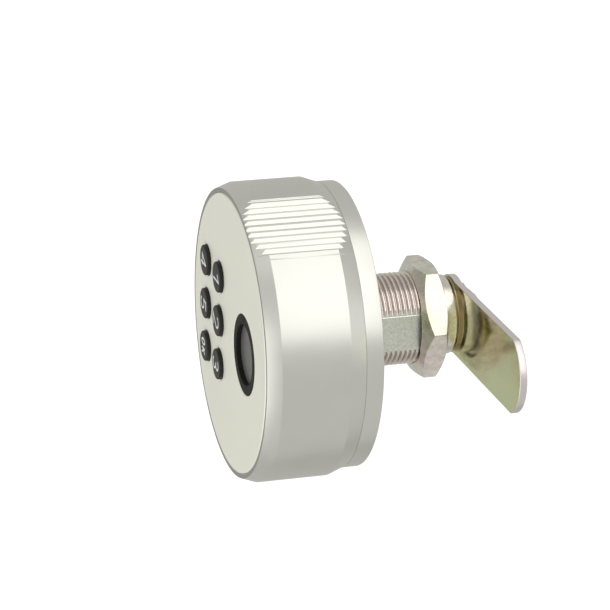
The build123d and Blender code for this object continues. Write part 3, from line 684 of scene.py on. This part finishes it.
# Across and up to the middle of the pale glint beside the cam's hub, and its radius
CAM_GLINT = (-6.4 * MM, 9.8 * MM, 3.6 * MM)


def reach_mask(tree, value, noise, start, end):
    """A soft-edged mask along a coordinate, its edge waved by noise."""
    sway = 6.0 * MM
    waved = maths(tree, "MULTIPLY_ADD", noise, sway, value)
    return ranged(tree, waved, start + sway / 2, end + sway / 2, blend="SMOOTHSTEP")


def spot_mask(tree, place, x, z, radius):
    """A soft round mask about a point of the cam, 1 in its middle."""
    away = vector_maths(tree, "SUBTRACT", place, (x, 0.0, z))
    return ranged(tree, from_axis(tree, away), radius, 0.25 * radius, blend="SMOOTHSTEP")


@made_once
def yellow_zinc(name, edge, side_rough):
    """Glossy yellow passivated zinc, duller and of another colour on its sheared edges."""
    colours = bpy.context.scene.lock_colours
    material, tree, place = new_material(name)
    bloom = add_group(tree, bloom_group(), Vector=place, Scale=75.0, Amount=0.7,
                      Plain=colours.cam_olive, First=colours.cam_gold,
                      Second=colours.cam_green)["Color"]
    flush = add_group(tree, bloom_group(), Vector=place, Scale=60.0, Amount=1.0)["Mask"]
    _, mottle = grained(tree, place, 2600.0, 160.0)
    split = add_node(tree, "ShaderNodeSeparateXYZ", Vector=place)
    masks = {part: reach_mask(tree, split.outputs[axis], mottle, start * MM, end * MM)
             for part, (axis, start, end) in CAM_REFLECTIONS.items()}
    # Painted reflections: a pink patch across the middle, a green one towards the tip and a
    # dark band near the hub
    before = maths(tree, "SUBTRACT", 1.0, masks["pink end"])
    pink = maths(tree, "MULTIPLY", masks["pink start"], before)
    green = maths(tree, "MULTIPLY", masks["green end"], masks["green side"])
    band = maths(tree, "MULTIPLY", masks["shade start"], masks["shade end"])
    band = maths(tree, "MULTIPLY", band, masks["shade side"])
    tone = mixed(tree, flush, mixed(tree, pink, bloom, colours.cam_pink_reflection), bloom)
    # The painted green and dark reflections and the painted glint beside the hub go over the
    # rest
    for mask, tint in ((green, colours.cam_green), (band, colours.cam_dark_reflection),
                       (spot_mask(tree, place, *CAM_GLINT), colours.cam_glint)):
        tone = mixed(tree, mask, tone, tint)
    side = facing(tree, 0.95, 0.75)
    return finish(material, mixed(tree, side, tone, edge),
                  ranged(tree, side, 0.0, 1.0, 0.11, side_rough), mottle, 0.05, 0.06 * MM)


@made_once
def moulded(name, base, rough, grain, relief, metallic=0.0, side=None, shine=0.5):
    """Moulded plastic or rubber with a fine grain, with sides of another colour if given."""
    material, tree, place = new_material(name)
    height, mottle = grained(tree, place, grain, 400.0)
    if side is not None:
        base = mixed(tree, facing(tree, 0.3, 0.9), side, base)
    tree.nodes["Principled BSDF"].inputs["Specular IOR Level"].default_value = shine
    return finish(material, shade(tree, base, height, 0.6, 1.5),
                  spread(tree, mottle, rough, rough + 0.12), height, relief, 0.06 * MM,
                  metallic)


class LOCK_OT_housing(bpy.types.Operator):
    """Turn the knob's housing and mill its grips"""

    bl_idname = "lock.housing"
    bl_label = "Make Housing"

    def execute(self, context):
        s = context.scene.lock_knob
        rear, front = low("base_ring").y - s.ring_gap, low("knob_housing").y
        ring_r = high("base_ring").z
        inner_r = s.band_r - s.wall
        ledge_front = high("plate_gasket").y
        ledge_rear = ledge_front + s.ledge_t
        plate_r = high("face_plate").z + s.plate_gap
        floor_r = s.band_r - s.grip_depth
        slots = [s.grip_shift + s.grip_pitch * (k - (s.grip_count - 1) / 2)
                 for k in range(s.grip_count)]
        rise = tan(s.grip_slope)
        crest = floor_r + rise * s.grip_pitch / 2
        outer = [(inner_r, rear)] + eased([
            (ring_r, rear), (s.band_r, rear - s.taper_len), (s.band_r, front + s.chamfer_len),
            (s.lip_r, front), (plate_r, front), (plate_r, ledge_front)], s.edge)
        closed = outer + [(inner_r - s.ledge_w, ledge_front), (inner_r - s.ledge_w, ledge_rear),
                          (inner_r, ledge_rear)]

        def groove_limit(turn):
            """Radius of the deepest groove at an angle from the patch's middle."""
            return min(max((floor_r - rise * u) / (cos(turn) - rise * sin(turn)),
                           (floor_r + rise * u) / (cos(turn) + rise * sin(turn)))
                       for u in slots)

        patch_turn = 1.1 * atan2(slots[-1] + s.grip_pitch, floor_r)
        middles = (s.grip_angle, s.grip_angle + pi)

        def column(a):
            for middle in middles:
                turn = (a - middle + pi) % (2 * pi) - pi
                if abs(turn) < patch_turn:
                    return clipped(closed, groove_limit(-turn))
            return closed

        corners = [atan2(u, floor_r) for u in slots]
        corners += [atan2(u + s.grip_pitch / 2, crest) for u in slots]
        corners += [atan2(slots[0] - s.grip_pitch / 2, crest)]
        corners.sort()
        # Each flank is cut finely, and so is the band just past the patch
        cuts, outer_cuts, outer_step = 5, 8, radians(0.3)
        fine = []
        for here, there in zip(corners, corners[1:]):
            fine += [here + (there - here) * i / cuts for i in range(cuts)]
        fine += [corners[-1] + i * outer_step for i in range(outer_cuts)]
        fine += [corners[0] - i * outer_step for i in range(1, outer_cuts)]
        extra = [middle + turn for middle in middles for turn in fine]
        bm = bmesh.new()
        lathe(bm, column, turn_angles(360, extra))
        pillar_at = inner_r - s.pillar_in
        pillar = even(post(s.pillar_r, ledge_rear, low("chassis").y))
        for degrees in (45, 135, 225, 315):
            a = radians(degrees)
            lathe(bm, pillar, turn_angles(32), (-pillar_at * sin(a), pillar_at * cos(a)))
        add_piece("housing_turned", mesh_from(bm),
                  satin_aluminium("Housing Aluminium", context.scene.lock_colours.shaded),
                  "knob", ["knob_housing"])
        return {"FINISHED"}


class LOCK_OT_base_ring(bpy.types.Operator):
    """Turn the slim ring that stays on the door"""

    bl_idname = "lock.base_ring"
    bl_label = "Make Base Ring"

    def execute(self, context):
        s = context.scene.lock_knob
        rear_sizes = context.scene.lock_rear
        front, rear = depths("base_ring")
        outer_r = high("base_ring").z
        inner_r = outer_r - s.ring_wall
        floor = rear - s.ring_floor
        hole_r = rear_sizes.crest_r + s.plate_gap
        hole_flat = rear_sizes.flat + s.plate_gap
        outer = eased([(hole_r, rear), (outer_r, rear), (outer_r, front)], s.ring_edge)
        outer += [(inner_r, front), (inner_r, floor), (hole_r, floor)]

        def column(a):
            hole = min(hole_r, flat_reach(hole_flat, a))
            return [(hole, rear)] + outer[1:-1] + [(hole, floor)]

        add_piece("ring_turned", turned(column, turn_angles(320)),
                  satin_aluminium("Satin Aluminium"), "base", ["base_ring"])
        return {"FINISHED"}


class LOCK_OT_face_plate(bpy.types.Operator):
    """Stamp the face plate with its holes and studs"""

    bl_idname = "lock.face_plate"
    bl_label = "Make Face Plate"

    def execute(self, context):
        s = context.scene.lock_knob
        keys = context.scene.lock_keys
        front, studs_end = depths("face_plate")
        back = front + s.plate_t
        rim_r = high("face_plate").z
        outlines = [circle(rim_r, 256)]
        for node, _ in KEYS:
            spot = centre(node)
            outlines.append(circle(keys.cap_r + s.plate_gap, 64, (spot.x, spot.z)))
        sensor = centre("sensor_bezel")
        outlines.append(circle(keys.bezel_r + s.plate_gap / 2, 96, (sensor.x, sensor.z)))
        plate = stamped(outlines, front, back, s.edge)
        bm = bmesh.new()
        bm.from_mesh(plate)
        bpy.data.meshes.remove(plate)
        # The stamped rounding is drawn out to the rim's own, wider one
        on_rim = 1.1
        for v in bm.verts:
            reach = hypot(v.co.x, v.co.z)
            inset = (rim_r - reach) / s.edge
            depth = (v.co.y - front) / s.edge
            if max(inset, depth) < on_rim:
                share = (rim_r - inset * s.plate_edge) / reach
                v.co = (v.co.x * share, front + depth * s.plate_edge, v.co.z * share)
        for spot in stud_spots():
            lathe(bm, even(post(s.stud_r, back, studs_end)), turn_angles(32), spot)
        add_piece("plate_blasted", mesh_from(bm), plate_aluminium("Blasted Plate"), "knob",
                  ["face_plate"], sharp=35.0)
        return {"FINISHED"}


def stud_spots():
    """Places of the plate's studs, read from the screws that hold them."""
    middle = centre("guide_screws")
    groups = {}
    for v in frame["nodes"]["guide_screws"].data.vertices:
        groups.setdefault((v.co.x > middle.x, v.co.z > middle.z), []).append(v.co)
    spots = []
    for group in groups.values():
        xs = [p.x for p in group]
        zs = [p.z for p in group]
        spots.append(((min(xs) + max(xs)) / 2, (min(zs) + max(zs)) / 2))
    return spots


class LOCK_OT_buttons(bpy.types.Operator):
    """Mould the six button caps and print them"""

    bl_idname = "lock.buttons"
    bl_label = "Make Buttons"

    def execute(self, context):
        keys = context.scene.lock_keys
        colours = context.scene.lock_colours
        # The caps' sides take a darker colour than their faces: painted shade
        cap = moulded("Button Plastic", colours.key, rough=0.45, grain=2600.0, relief=0.5,
                      side=colours.key_side_shade, shine=0.3)
        ink = moulded("Button Print", colours.ink, rough=0.6, grain=9000.0, relief=0.05)
        for node, text in KEYS:
            spot = centre(node)
            front, back = depths(node)
            flange_r = half_width(node)
            flange = low("plate_gasket").y + context.scene.lock_knob.plate_gap
            top = front + keys.print_t
            rim = top + keys.cap_dome
            flat_r, flange_end = 0.8 * keys.cap_r, flange + keys.flange_t
            outline = eased([(0.0, top), (flat_r, top), (keys.cap_r, rim),
                             (keys.cap_r, flange)], keys.cap_edge, 4)
            outline += [(flange_r, flange), (flange_r, flange_end), (keys.stem_r, flange_end),
                        (keys.stem_r, back), (0.0, back)]
            add_piece(node.replace("button", "cap"),
                      turned(even(outline), turn_angles(72), (spot.x, spot.z)), cap, node,
                      [node], sharp=40.0)
            add_print(node.replace("button", "print"), text, node, spot, front, ink, keys)
        return {"FINISHED"}


def arc(cx, cz, rx, rz, start, end, count=10):
    """Points on part of an oval, by angles in degrees from the right, anticlockwise."""
    turns = [radians(start + (end - start) * i / count) for i in range(count + 1)]
    return [(cx + rx * cos(t), cz + rz * sin(t)) for t in turns]


def numeral_lines(text):
    """Centre lines of a numeral or letter, in a box from (-0.5, -0.5) to (0.5, 0.5)."""
    lines = {
        "1": [[(-0.38, 0.26), (0.22, 0.5), (0.22, -0.5)]],
        "2": [arc(0.0, 0.2, 0.46, 0.3, 165, -25) + [(-0.46, -0.5), (0.48, -0.5)]],
        "3": [arc(-0.04, 0.26, 0.42, 0.24, 150, -80), arc(-0.04, -0.24, 0.48, 0.26, 86, -150),
              [(-0.16, 0.02), (0.06, 0.02)]],
        "4": [[(0.26, -0.5), (0.26, 0.5)], [(0.24, 0.48), (-0.5, -0.24), (0.5, -0.24)]],
        "5": [[(0.42, 0.5), (-0.3, 0.5), (-0.38, 0.06)]
              + arc(-0.02, -0.18, 0.48, 0.32, 128, -145)],
        "O": [arc(0.0, 0.0, 0.46, 0.5, 90, 450, 24)],
        "K": [[(-0.4, 0.5), (-0.4, -0.5)], [(0.44, 0.5), (-0.38, -0.06)],
              [(-0.12, 0.12), (0.46, -0.5)]],
    }
    return lines[text]


def stroke(bm, points, width, y, depth):
    """A flat line of even width along the points, with mitred corners."""
    sharpest = 0.45
    sides = []
    closed = (Vector(points[0]) - Vector(points[-1])).length < NEAR_ZERO * MM
    if closed:
        points = points[:-1]
    count = len(points)
    for i, point in enumerate(points):
        here = Vector(point)
        before = Vector(points[i - 1]) if i or closed else None
        after = Vector(points[(i + 1) % count]) if i < count - 1 or closed else None
        into = (here - before).normalized() if before else (after - here).normalized()
        away = (after - here).normalized() if after else into
        along = (into + away).normalized()
        half = width / 2 / max(along.dot(into), sharpest)
        normal = Vector((-along.y, along.x)) * half
        sides.append((here + normal, here - normal))
    rings = []
    for a, b in sides:
        rings.append([bm.verts.new((p.x, level, p.y))
                      for p, level in ((a, y), (b, y), (b, y + depth), (a, y + depth))])
    pairs = list(zip(rings, rings[1:]))
    if closed:
        pairs.append((rings[-1], rings[0]))
    else:
        bm.faces.new(rings[0])
        bm.faces.new(rings[-1])
    for here, there in pairs:
        skin(bm, here, there)


def add_print(name, text, body, spot, front, ink, keys):
    """A numeral or a pair of letters printed on a button's cap.

    A numeral's lines lie at slightly different heights where they cross.
    """
    pair_high, pair_wide, pair_pitch = 0.62, 0.58, 1.2
    tall = keys.print_h if len(text) == 1 else keys.print_h * pair_high
    wide = keys.print_w if len(text) == 1 else keys.print_w * pair_wide
    pitch = wide * pair_pitch
    bm = bmesh.new()
    for k, letter in enumerate(text):
        shift = pitch * (k - (len(text) - 1) / 2)
        for index, points in enumerate(numeral_lines(letter)):
            placed = [(spot.x + shift + x * (wide - keys.print_line),
                       spot.z + z * (tall - keys.print_line)) for x, z in points]
            stroke(bm, placed, keys.print_line, front + index * keys.print_t / 4,
                   keys.print_t + keys.cap_dome)
    add_piece(name, mesh_from(bm), ink, body, sharp=30.0)


class LOCK_OT_sensor(bpy.types.Operator):
    """Mould the sensor's bezel and pad"""

    bl_idname = "lock.sensor"
    bl_label = "Make Sensor"

    def execute(self, context):
        keys = context.scene.lock_keys
        knob = context.scene.lock_knob
        colours = context.scene.lock_colours
        spot = centre("sensor_bezel")
        front, back = depths("sensor_bezel")
        flange_r = half_width("sensor_bezel")
        flange = low("plate_gasket").y + knob.plate_gap / 2
        pad_front, pad_back = depths("sensor_pad")
        pad_r = half_width("sensor_pad")
        outline = eased([(keys.window_r, pad_front), (keys.window_r, front),
                         (keys.bezel_r, front), (keys.bezel_r, flange)], keys.window_edge)
        recess_r, recess = pad_r + knob.plate_gap, pad_front - knob.plate_gap / 2
        outline += [(flange_r, flange), (flange_r, back), (recess_r, back),
                    (recess_r, recess), (keys.window_r, recess)]
        add_piece("bezel_moulded", turned(even(outline), turn_angles(144), (spot.x, spot.z)),
                  moulded("Bezel Plastic", colours.bezel, rough=0.55, grain=2200.0,
                          relief=0.7, shine=0.15),
                  "knob", ["sensor_bezel"], sharp=40.0)
        pad = even(post(pad_r, pad_front, pad_back))
        add_piece("pad_coated", turned(pad, turn_angles(96), (spot.x, spot.z)),
                  moulded("Sensor Coating", colours.sensor, rough=0.32, grain=7000.0,
                          relief=0.08), "knob", ["sensor_pad"], sharp=40.0)
        return {"FINISHED"}


class LOCK_OT_neck(bpy.types.Operator):
    """Cut the neck's thread and flats"""

    bl_idname = "lock.neck"
    bl_label = "Make Neck"

    def execute(self, context):
        s = context.scene.lock_rear
        front, rear = depths("threaded_neck")
        flange_r = high("threaded_neck").z
        thread_end = rear - s.collar_len
        start = high("track_ring").y
        depth = thread_depth(s)
        root_r = s.crest_r - depth
        # One pitch of the thread: a flat root, a flank, a flat crest and the other flank
        root, flank = 0.25, 0.3125
        shape = ((0.0, root_r), (root, root_r), (root + flank, s.crest_r),
                 (1.0 - flank, s.crest_r), (1.0, root_r))

        def thread_r(y, a):
            """Radius of the thread's surface at a depth and an angle."""
            phase = ((y - start) / s.pitch - a / (2 * pi)) % 1.0
            for (t0, r0), (t1, r1) in zip(shape, shape[1:]):
                if t0 <= phase <= t1:
                    return r0 + (r1 - r0) * (phase - t0) / (t1 - t0)
            return root_r

        lead_start = thread_end - s.lead
        teeth = int((thread_end - start) / s.pitch) + 2
        line = atan2(s.flat_line, s.flat)
        line_end = atan2(s.flat_line + 1.2 * s.flat_step, s.flat)

        def flat_height(a):
            """Height of the flat, which steps down past a line along it."""
            turn = (a + pi / 2) % pi - pi / 2
            share = min(max((turn - line) / (line_end - line), 0.0), 1.0)
            return s.flat - s.flat_step * share

        def column(a):
            flat_r = flat_reach(flat_height(a), a)

            def held(r, y):
                return min(r, flat_r, s.crest_r - max(0.0, y - lead_start))

            points = [(s.bore_r, front), (flange_r, front), (flange_r, start),
                      (min(thread_r(start, a), flat_r), start)]
            for k in range(-1, teeth):
                tooth = shape[:4]
                if flat_r < s.crest_r:
                    share = max(0.0, (flat_r - root_r) / depth)
                    bottom = min(root_r, flat_r)
                    tooth = ((0.0, bottom), (root, bottom), (root + flank * share, flat_r),
                             (1.0 - flank * share, flat_r))
                for t, r in tooth:
                    y = start + s.pitch * (k + t + a / (2 * pi))
                    if y < start or y > thread_end:
                        y = min(max(y, start), thread_end)
                        r = thread_r(y, a)
                    points.append((held(r, y), y))
            points += eased([(s.collar_r, thread_end), (s.collar_r, rear), (s.bore_r, rear)],
                            s.collar_edge)
            return points

        flat_edges = [acos(s.flat / s.crest_r), acos(s.flat / root_r)]
        extra = [side * a + turn for a in flat_edges for side in (-1, 1) for turn in (0, pi)]
        extra += [a + turn for a in (line, line_end) for turn in (0, pi)]
        add_piece("neck_threaded", turned(column, turn_angles(240, extra)),
                  neck_zinc("Neck Zinc"), "base", ["threaded_neck"], sharp=18.0)
        return {"FINISHED"}


class LOCK_OT_nut(bpy.types.Operator):
    """Cut the hex nut with its chamfered corners"""

    bl_idname = "lock.nut"
    bl_label = "Make Nut"

    def execute(self, context):
        s = context.scene.lock_rear
        front, rear = depths("hex_nut")
        half = s.nut_af / 2
        corner_r = s.nut_af / sqrt(3)
        rise = tan(s.nut_slope)
        bore_r = s.crest_r + s.nut_play
        far = corner_r * 1.1
        outline = [(bore_r, front), (s.nut_face, front),
                   (far, front + (far - s.nut_face) * rise),
                   (far, rear - (far - half) * rise), (half, rear), (bore_r, rear)]

        def column(a):
            turn = (a - s.nut_turn) % (pi / 3) - pi / 6
            return clipped(outline, min(half / cos(turn), corner_r - s.nut_edge))

        corners = [s.nut_turn + k * pi / 3 for k in range(6)]
        near = [corner + radians(degrees) for corner in corners
                for degrees in (-0.35, -0.7, 0.35, 0.7)]
        add_piece("nut_cut", turned(column, turn_angles(180, corners + near)),
                  plated_zinc("Nut Zinc", rough=0.20, amount=0.9), "base",
                  ["hex_nut"], sharp=14.0)
        return {"FINISHED"}


def cam_outline(s):
    """Outline of the cam: round hub end, straight sides and bowed tip."""
    half = s.cam_w / 2
    hub = atan2(half, sqrt(s.cam_hub_r**2 - half**2))
    tip = atan2(half, sqrt(s.cam_tip_r**2 - half**2))
    tip_z = s.cam_len - s.cam_tip_r
    points = []
    for radius, z, start, end, count in ((s.cam_hub_r, 0.0, hub, 2 * pi - hub, 48),
                                         (s.cam_tip_r, tip_z, -tip, tip, 40)):
        turns = [start + (end - start) * i / count for i in range(count + 1)]
        points += [(radius * sin(a), z + radius * cos(a)) for a in turns]
    return points


class LOCK_OT_cam(bpy.types.Operator):
    """Stamp the cam and turn the stop washer in front of it"""

    bl_idname = "lock.cam"
    bl_label = "Make Cam"

    def execute(self, context):
        s = context.scene.lock_rear
        colours = context.scene.lock_colours
        half = s.square / 2 + s.square_play
        hole = [(-half, -half), (half, -half), (half, half), (-half, half)]
        add_piece("cam_stamped",
                  stamped([cam_outline(s), hole], *depths("cam"), s.cam_edge, s.cam_turn),
                  yellow_zinc("Cam Zinc", edge=colours.cam_side, side_rough=0.34), "knob",
                  ["cam"], sharp=30.0)
        front, rear = depths("stop_washer")
        rim_r = high("stop_washer").z
        rim = front + s.rim_t
        outer = eased([(0.0, front), (rim_r, front), (rim_r, rim), (s.hub_r, rim),
                       (s.hub_r, rear), (0.0, rear)], s.washer_edge, 2)[1:-1]

        def column(a):
            turn = (a - s.cam_turn + pi / 4) % (pi / 2) - pi / 4
            inner = half / cos(turn)
            return [(inner, front)] + outer + [(inner, rear)]

        add_piece("stop_washer_turned", turned(column, turn_angles(120)),
                  yellow_zinc("Washer Zinc", edge=colours.washer, side_rough=0.14), "knob",
                  ["stop_washer"], sharp=30.0)
        return {"FINISHED"}


# Inner pieces by slot: name, colour, roughness, grain, strength of its relief, metallic
INNER_FINISHES = {
    "black_plastic": ("Black Nylon", (0.03, 0.03, 0.03), 0.5, 3000.0, 0.2),
    "white_slide_plastic": ("White Acetal", (0.8, 0.8, 0.77), 0.4, 3000.0, 0.05),
    "board_laminate": ("Board Laminate", (0.02, 0.16, 0.07), 0.35, 2500.0, 0.08),
    "ribbon_film": ("Ribbon Film", (0.55, 0.28, 0.06), 0.35, 2500.0, 0.05),
    "gasket_rubber": ("Gasket Rubber", (0.02, 0.02, 0.02), 0.7, 2500.0, 0.2),
    "spring_brass": ("Spring Brass", (0.78, 0.62, 0.30), 0.25, 2500.0, 0.05, 1.0),
    "zinc_alloy": ("Zinc Casting", (0.52, 0.53, 0.54), 0.4, 1800.0, 0.25, 1.0),
}


class LOCK_OT_inner_works(bpy.types.Operator):
    """Give every piece that stays as the frame has it its own finish"""

    bl_idname = "lock.inner_works"
    bl_label = "Finish Inner Works"

    def execute(self, context):
        finishes = {slot: moulded(*recipe) for slot, recipe in INNER_FINISHES.items()}
        for slot in ("key_plastic", "bezel_plastic", "pad_glass"):
            finishes[slot] = finishes["black_plastic"]
        for slot in ("zinc_steel", "yellow_zinc_steel"):
            finishes[slot] = plated_zinc("Plated Zinc")
        finishes["screw_steel"] = plated_zinc("Screw Zinc", rough=0.25, amount=0.3)
        finishes["satin_aluminium"] = satin_aluminium("Satin Aluminium")
        slot_of = {p["node"]: p["material_slot"] for p in frame["record"]["subparts"]}
        for node, piece in frame["nodes"].items():
            piece.data.materials.clear()
            piece.data.materials.append(finishes[slot_of[node]])
        return {"FINISHED"}


def ray_share(tree, glossy):
    """1 for rays from the camera, and a share of it for reflections and glass."""
    path = tree.nodes.new("ShaderNodeLightPath").outputs
    clear = maths(tree, "MAXIMUM", path["Is Glossy Ray"], path["Is Transmission Ray"])
    share = maths(tree, "MULTIPLY", clear, glossy)
    return maths(tree, "MAXIMUM", share, path["Is Camera Ray"])


def placed(right, up, back, at):
    """Matrix of a camera or a lamp, from its own axes and its place."""
    return Matrix.Translation(at) @ Matrix((right, up, back)).transposed().to_4x4()


CAMERA_AT = (-0.20102, -0.15157, 0.49640)
CAMERA_RIGHT = (-0.0139, 0.9618, 0.2733)
CAMERA_BACK = (-0.3553, -0.2602, 0.8978)
# Each soft box: its turn from the top in degrees, its reach along +Y as a share of its
# distance, its extent in metres and the stage's setting for its brightness
SOFT_BOXES = (("key_softbox", 32, 0.27, (0.64, 0.56), "key_light"),
              ("side_softbox", 74, 0.27, (0.72, 0.56), "side_light"),
              ("front_softbox", -60, -0.80, (0.80, 0.80), "front_light"),
              ("top_softbox", 0, -0.80, (0.80, 0.80), "top_light"),
              ("rear_softbox", 20, 0.80, (0.50, 0.50), "rear_light"),
              ("low_softbox", 80, -0.41, (0.45, 0.40), "low_light"))


class LOCK_OT_stage(bpy.types.Operator):
    """Set the camera, the floor and the studio lights"""

    bl_idname = "lock.stage"
    bl_label = "Set Stage"

    def execute(self, context):
        stage = context.scene.lock_stage
        self.add_camera(context, stage)
        self.add_floor(context, stage)
        self.add_sky(context, stage)
        for name, degrees, along, extent, setting in SOFT_BOXES:
            self.add_softbox(context, name, radians(degrees), along, extent,
                             getattr(stage, setting))
        context.scene.view_settings.view_transform = "Standard"
        return {"FINISHED"}

    def add_camera(self, context, stage):
        """The camera of the photo, far off with a long lens."""
        data = bpy.data.cameras.new("camera")
        data.lens = stage.lens
        data.sensor_width = 36.0
        data.clip_start = 0.01
        data.clip_end = 50.0
        camera = stand("camera", data)
        back = Vector(CAMERA_BACK).normalized()
        up = back.cross(Vector(CAMERA_RIGHT)).normalized()
        camera.matrix_world = placed(up.cross(back), up, back, CAMERA_AT)
        context.scene.camera = camera

    def add_floor(self, context, stage):
        """A plain pale floor, which gives the lock less light than it shows the camera."""
        half, z = 4.0, stage.floor_z
        mesh = bpy.data.meshes.new("floor")
        mesh.from_pydata([(-half, -half, z), (half, -half, z), (half, half, z),
                          (-half, half, z)], [], [(0, 1, 2, 3)])
        material = bpy.data.materials.new("Studio Floor")
        material.use_nodes = True
        tree = material.node_tree
        tree.nodes.clear()
        plain = add_node(tree, "ShaderNodeBsdfDiffuse", Color=(0.46, 0.46, 0.445))
        paper = add_node(tree, "ShaderNodeBsdfDiffuse", Color=(0.8, 0.8, 0.8))
        glow = add_node(tree, "ShaderNodeEmission", Color=(1.0, 1.0, 1.0), Strength=0.42)
        bright = add_node(tree, "ShaderNodeAddShader", i0=paper.outputs[0], i1=glow.outputs[0])
        mix = add_node(tree, "ShaderNodeMixShader", i0=ray_share(tree, 0.19),
                       i1=plain.outputs[0], i2=bright.outputs[0])
        out = tree.nodes.new("ShaderNodeOutputMaterial")
        tree.links.new(mix.outputs[0], out.inputs["Surface"])
        mesh.materials.append(material)
        floor = stand("floor", mesh)

    def add_sky(self, context, stage):
        """Even studio light, white to the camera and weaker on the lock."""
        world = bpy.data.worlds.new("studio")
        world.use_nodes = True
        tree = world.node_tree
        back = tree.nodes["Background"]
        strength = ranged(tree, ray_share(tree, 0.0), 0.0, 1.0, stage.sky, 1.0)
        feed(tree, back.inputs["Strength"], strength)
        feed(tree, back.inputs["Color"], (1.0, 1.0, 0.985))
        context.scene.world = world

    def add_softbox(self, context, name, turn, along, extent, radiance):
        """A soft box that faces the lock, by its turn from the top and its reach along +Y."""
        data = bpy.data.lights.new(name, "AREA")
        data.shape = "RECTANGLE"
        data.size, data.size_y = extent
        data.energy = radiance * pi * extent[0] * extent[1]
        lamp = stand(name, data)
        out = sqrt(1 - along * along)
        toward = Vector((-sin(turn) * out, along, cos(turn) * out))
        side = Vector((0.0, 1.0, 0.0)).cross(toward).normalized()
        lamp.matrix_world = placed(side, toward.cross(side), toward,
                                   toward * context.scene.lock_stage.lamp_distance)


class LOCK_PT_panel(bpy.types.Panel):
    """Lists the lock's sizes, colours and pieces"""

    bl_label = "Cam Lock"
    bl_idname = "LOCK_PT_panel"
    bl_space_type = "VIEW_3D"
    bl_region_type = "UI"
    bl_category = "Cam Lock"

    def draw(self, context):
        layout = self.layout
        for setting, _ in GROUPS:
            group = getattr(context.scene, setting)
            box = layout.box()
            for name in group.bl_rna.properties.keys():
                if name not in ("rna_type", "name"):
                    box.prop(group, name)
        for operator in OPERATORS:
            layout.operator(operator.bl_idname)


GROUPS = (("lock_knob", LockKnobSizes), ("lock_keys", LockKeySizes),
          ("lock_rear", LockRearSizes), ("lock_colours", LockColours),
          ("lock_stage", LockStage))
OPERATORS = (LOCK_OT_inner_works, LOCK_OT_housing, LOCK_OT_base_ring, LOCK_OT_face_plate,
             LOCK_OT_buttons, LOCK_OT_sensor, LOCK_OT_neck, LOCK_OT_nut, LOCK_OT_cam,
             LOCK_OT_stage)


def register():
    for name, group in GROUPS:
        bpy.utils.register_class(group)
        setattr(bpy.types.Scene, name, PointerProperty(type=group))
    for operator in OPERATORS:
        bpy.utils.register_class(operator)
    bpy.utils.register_class(LOCK_PT_panel)


def unregister():
    bpy.utils.unregister_class(LOCK_PT_panel)
    for operator in reversed(OPERATORS):
        bpy.utils.unregister_class(operator)
    for name, group in reversed(GROUPS):
        delattr(bpy.types.Scene, name)
        bpy.utils.unregister_class(group)


def main():
    register()
    bpy.ops.lock.inner_works()
    bpy.ops.lock.housing()
    bpy.ops.lock.base_ring()
    bpy.ops.lock.face_plate()
    bpy.ops.lock.buttons()
    bpy.ops.lock.sensor()
    bpy.ops.lock.neck()
    bpy.ops.lock.nut()
    bpy.ops.lock.cam()
    bpy.ops.lock.stage()


if __name__ == "__main__":
    main()
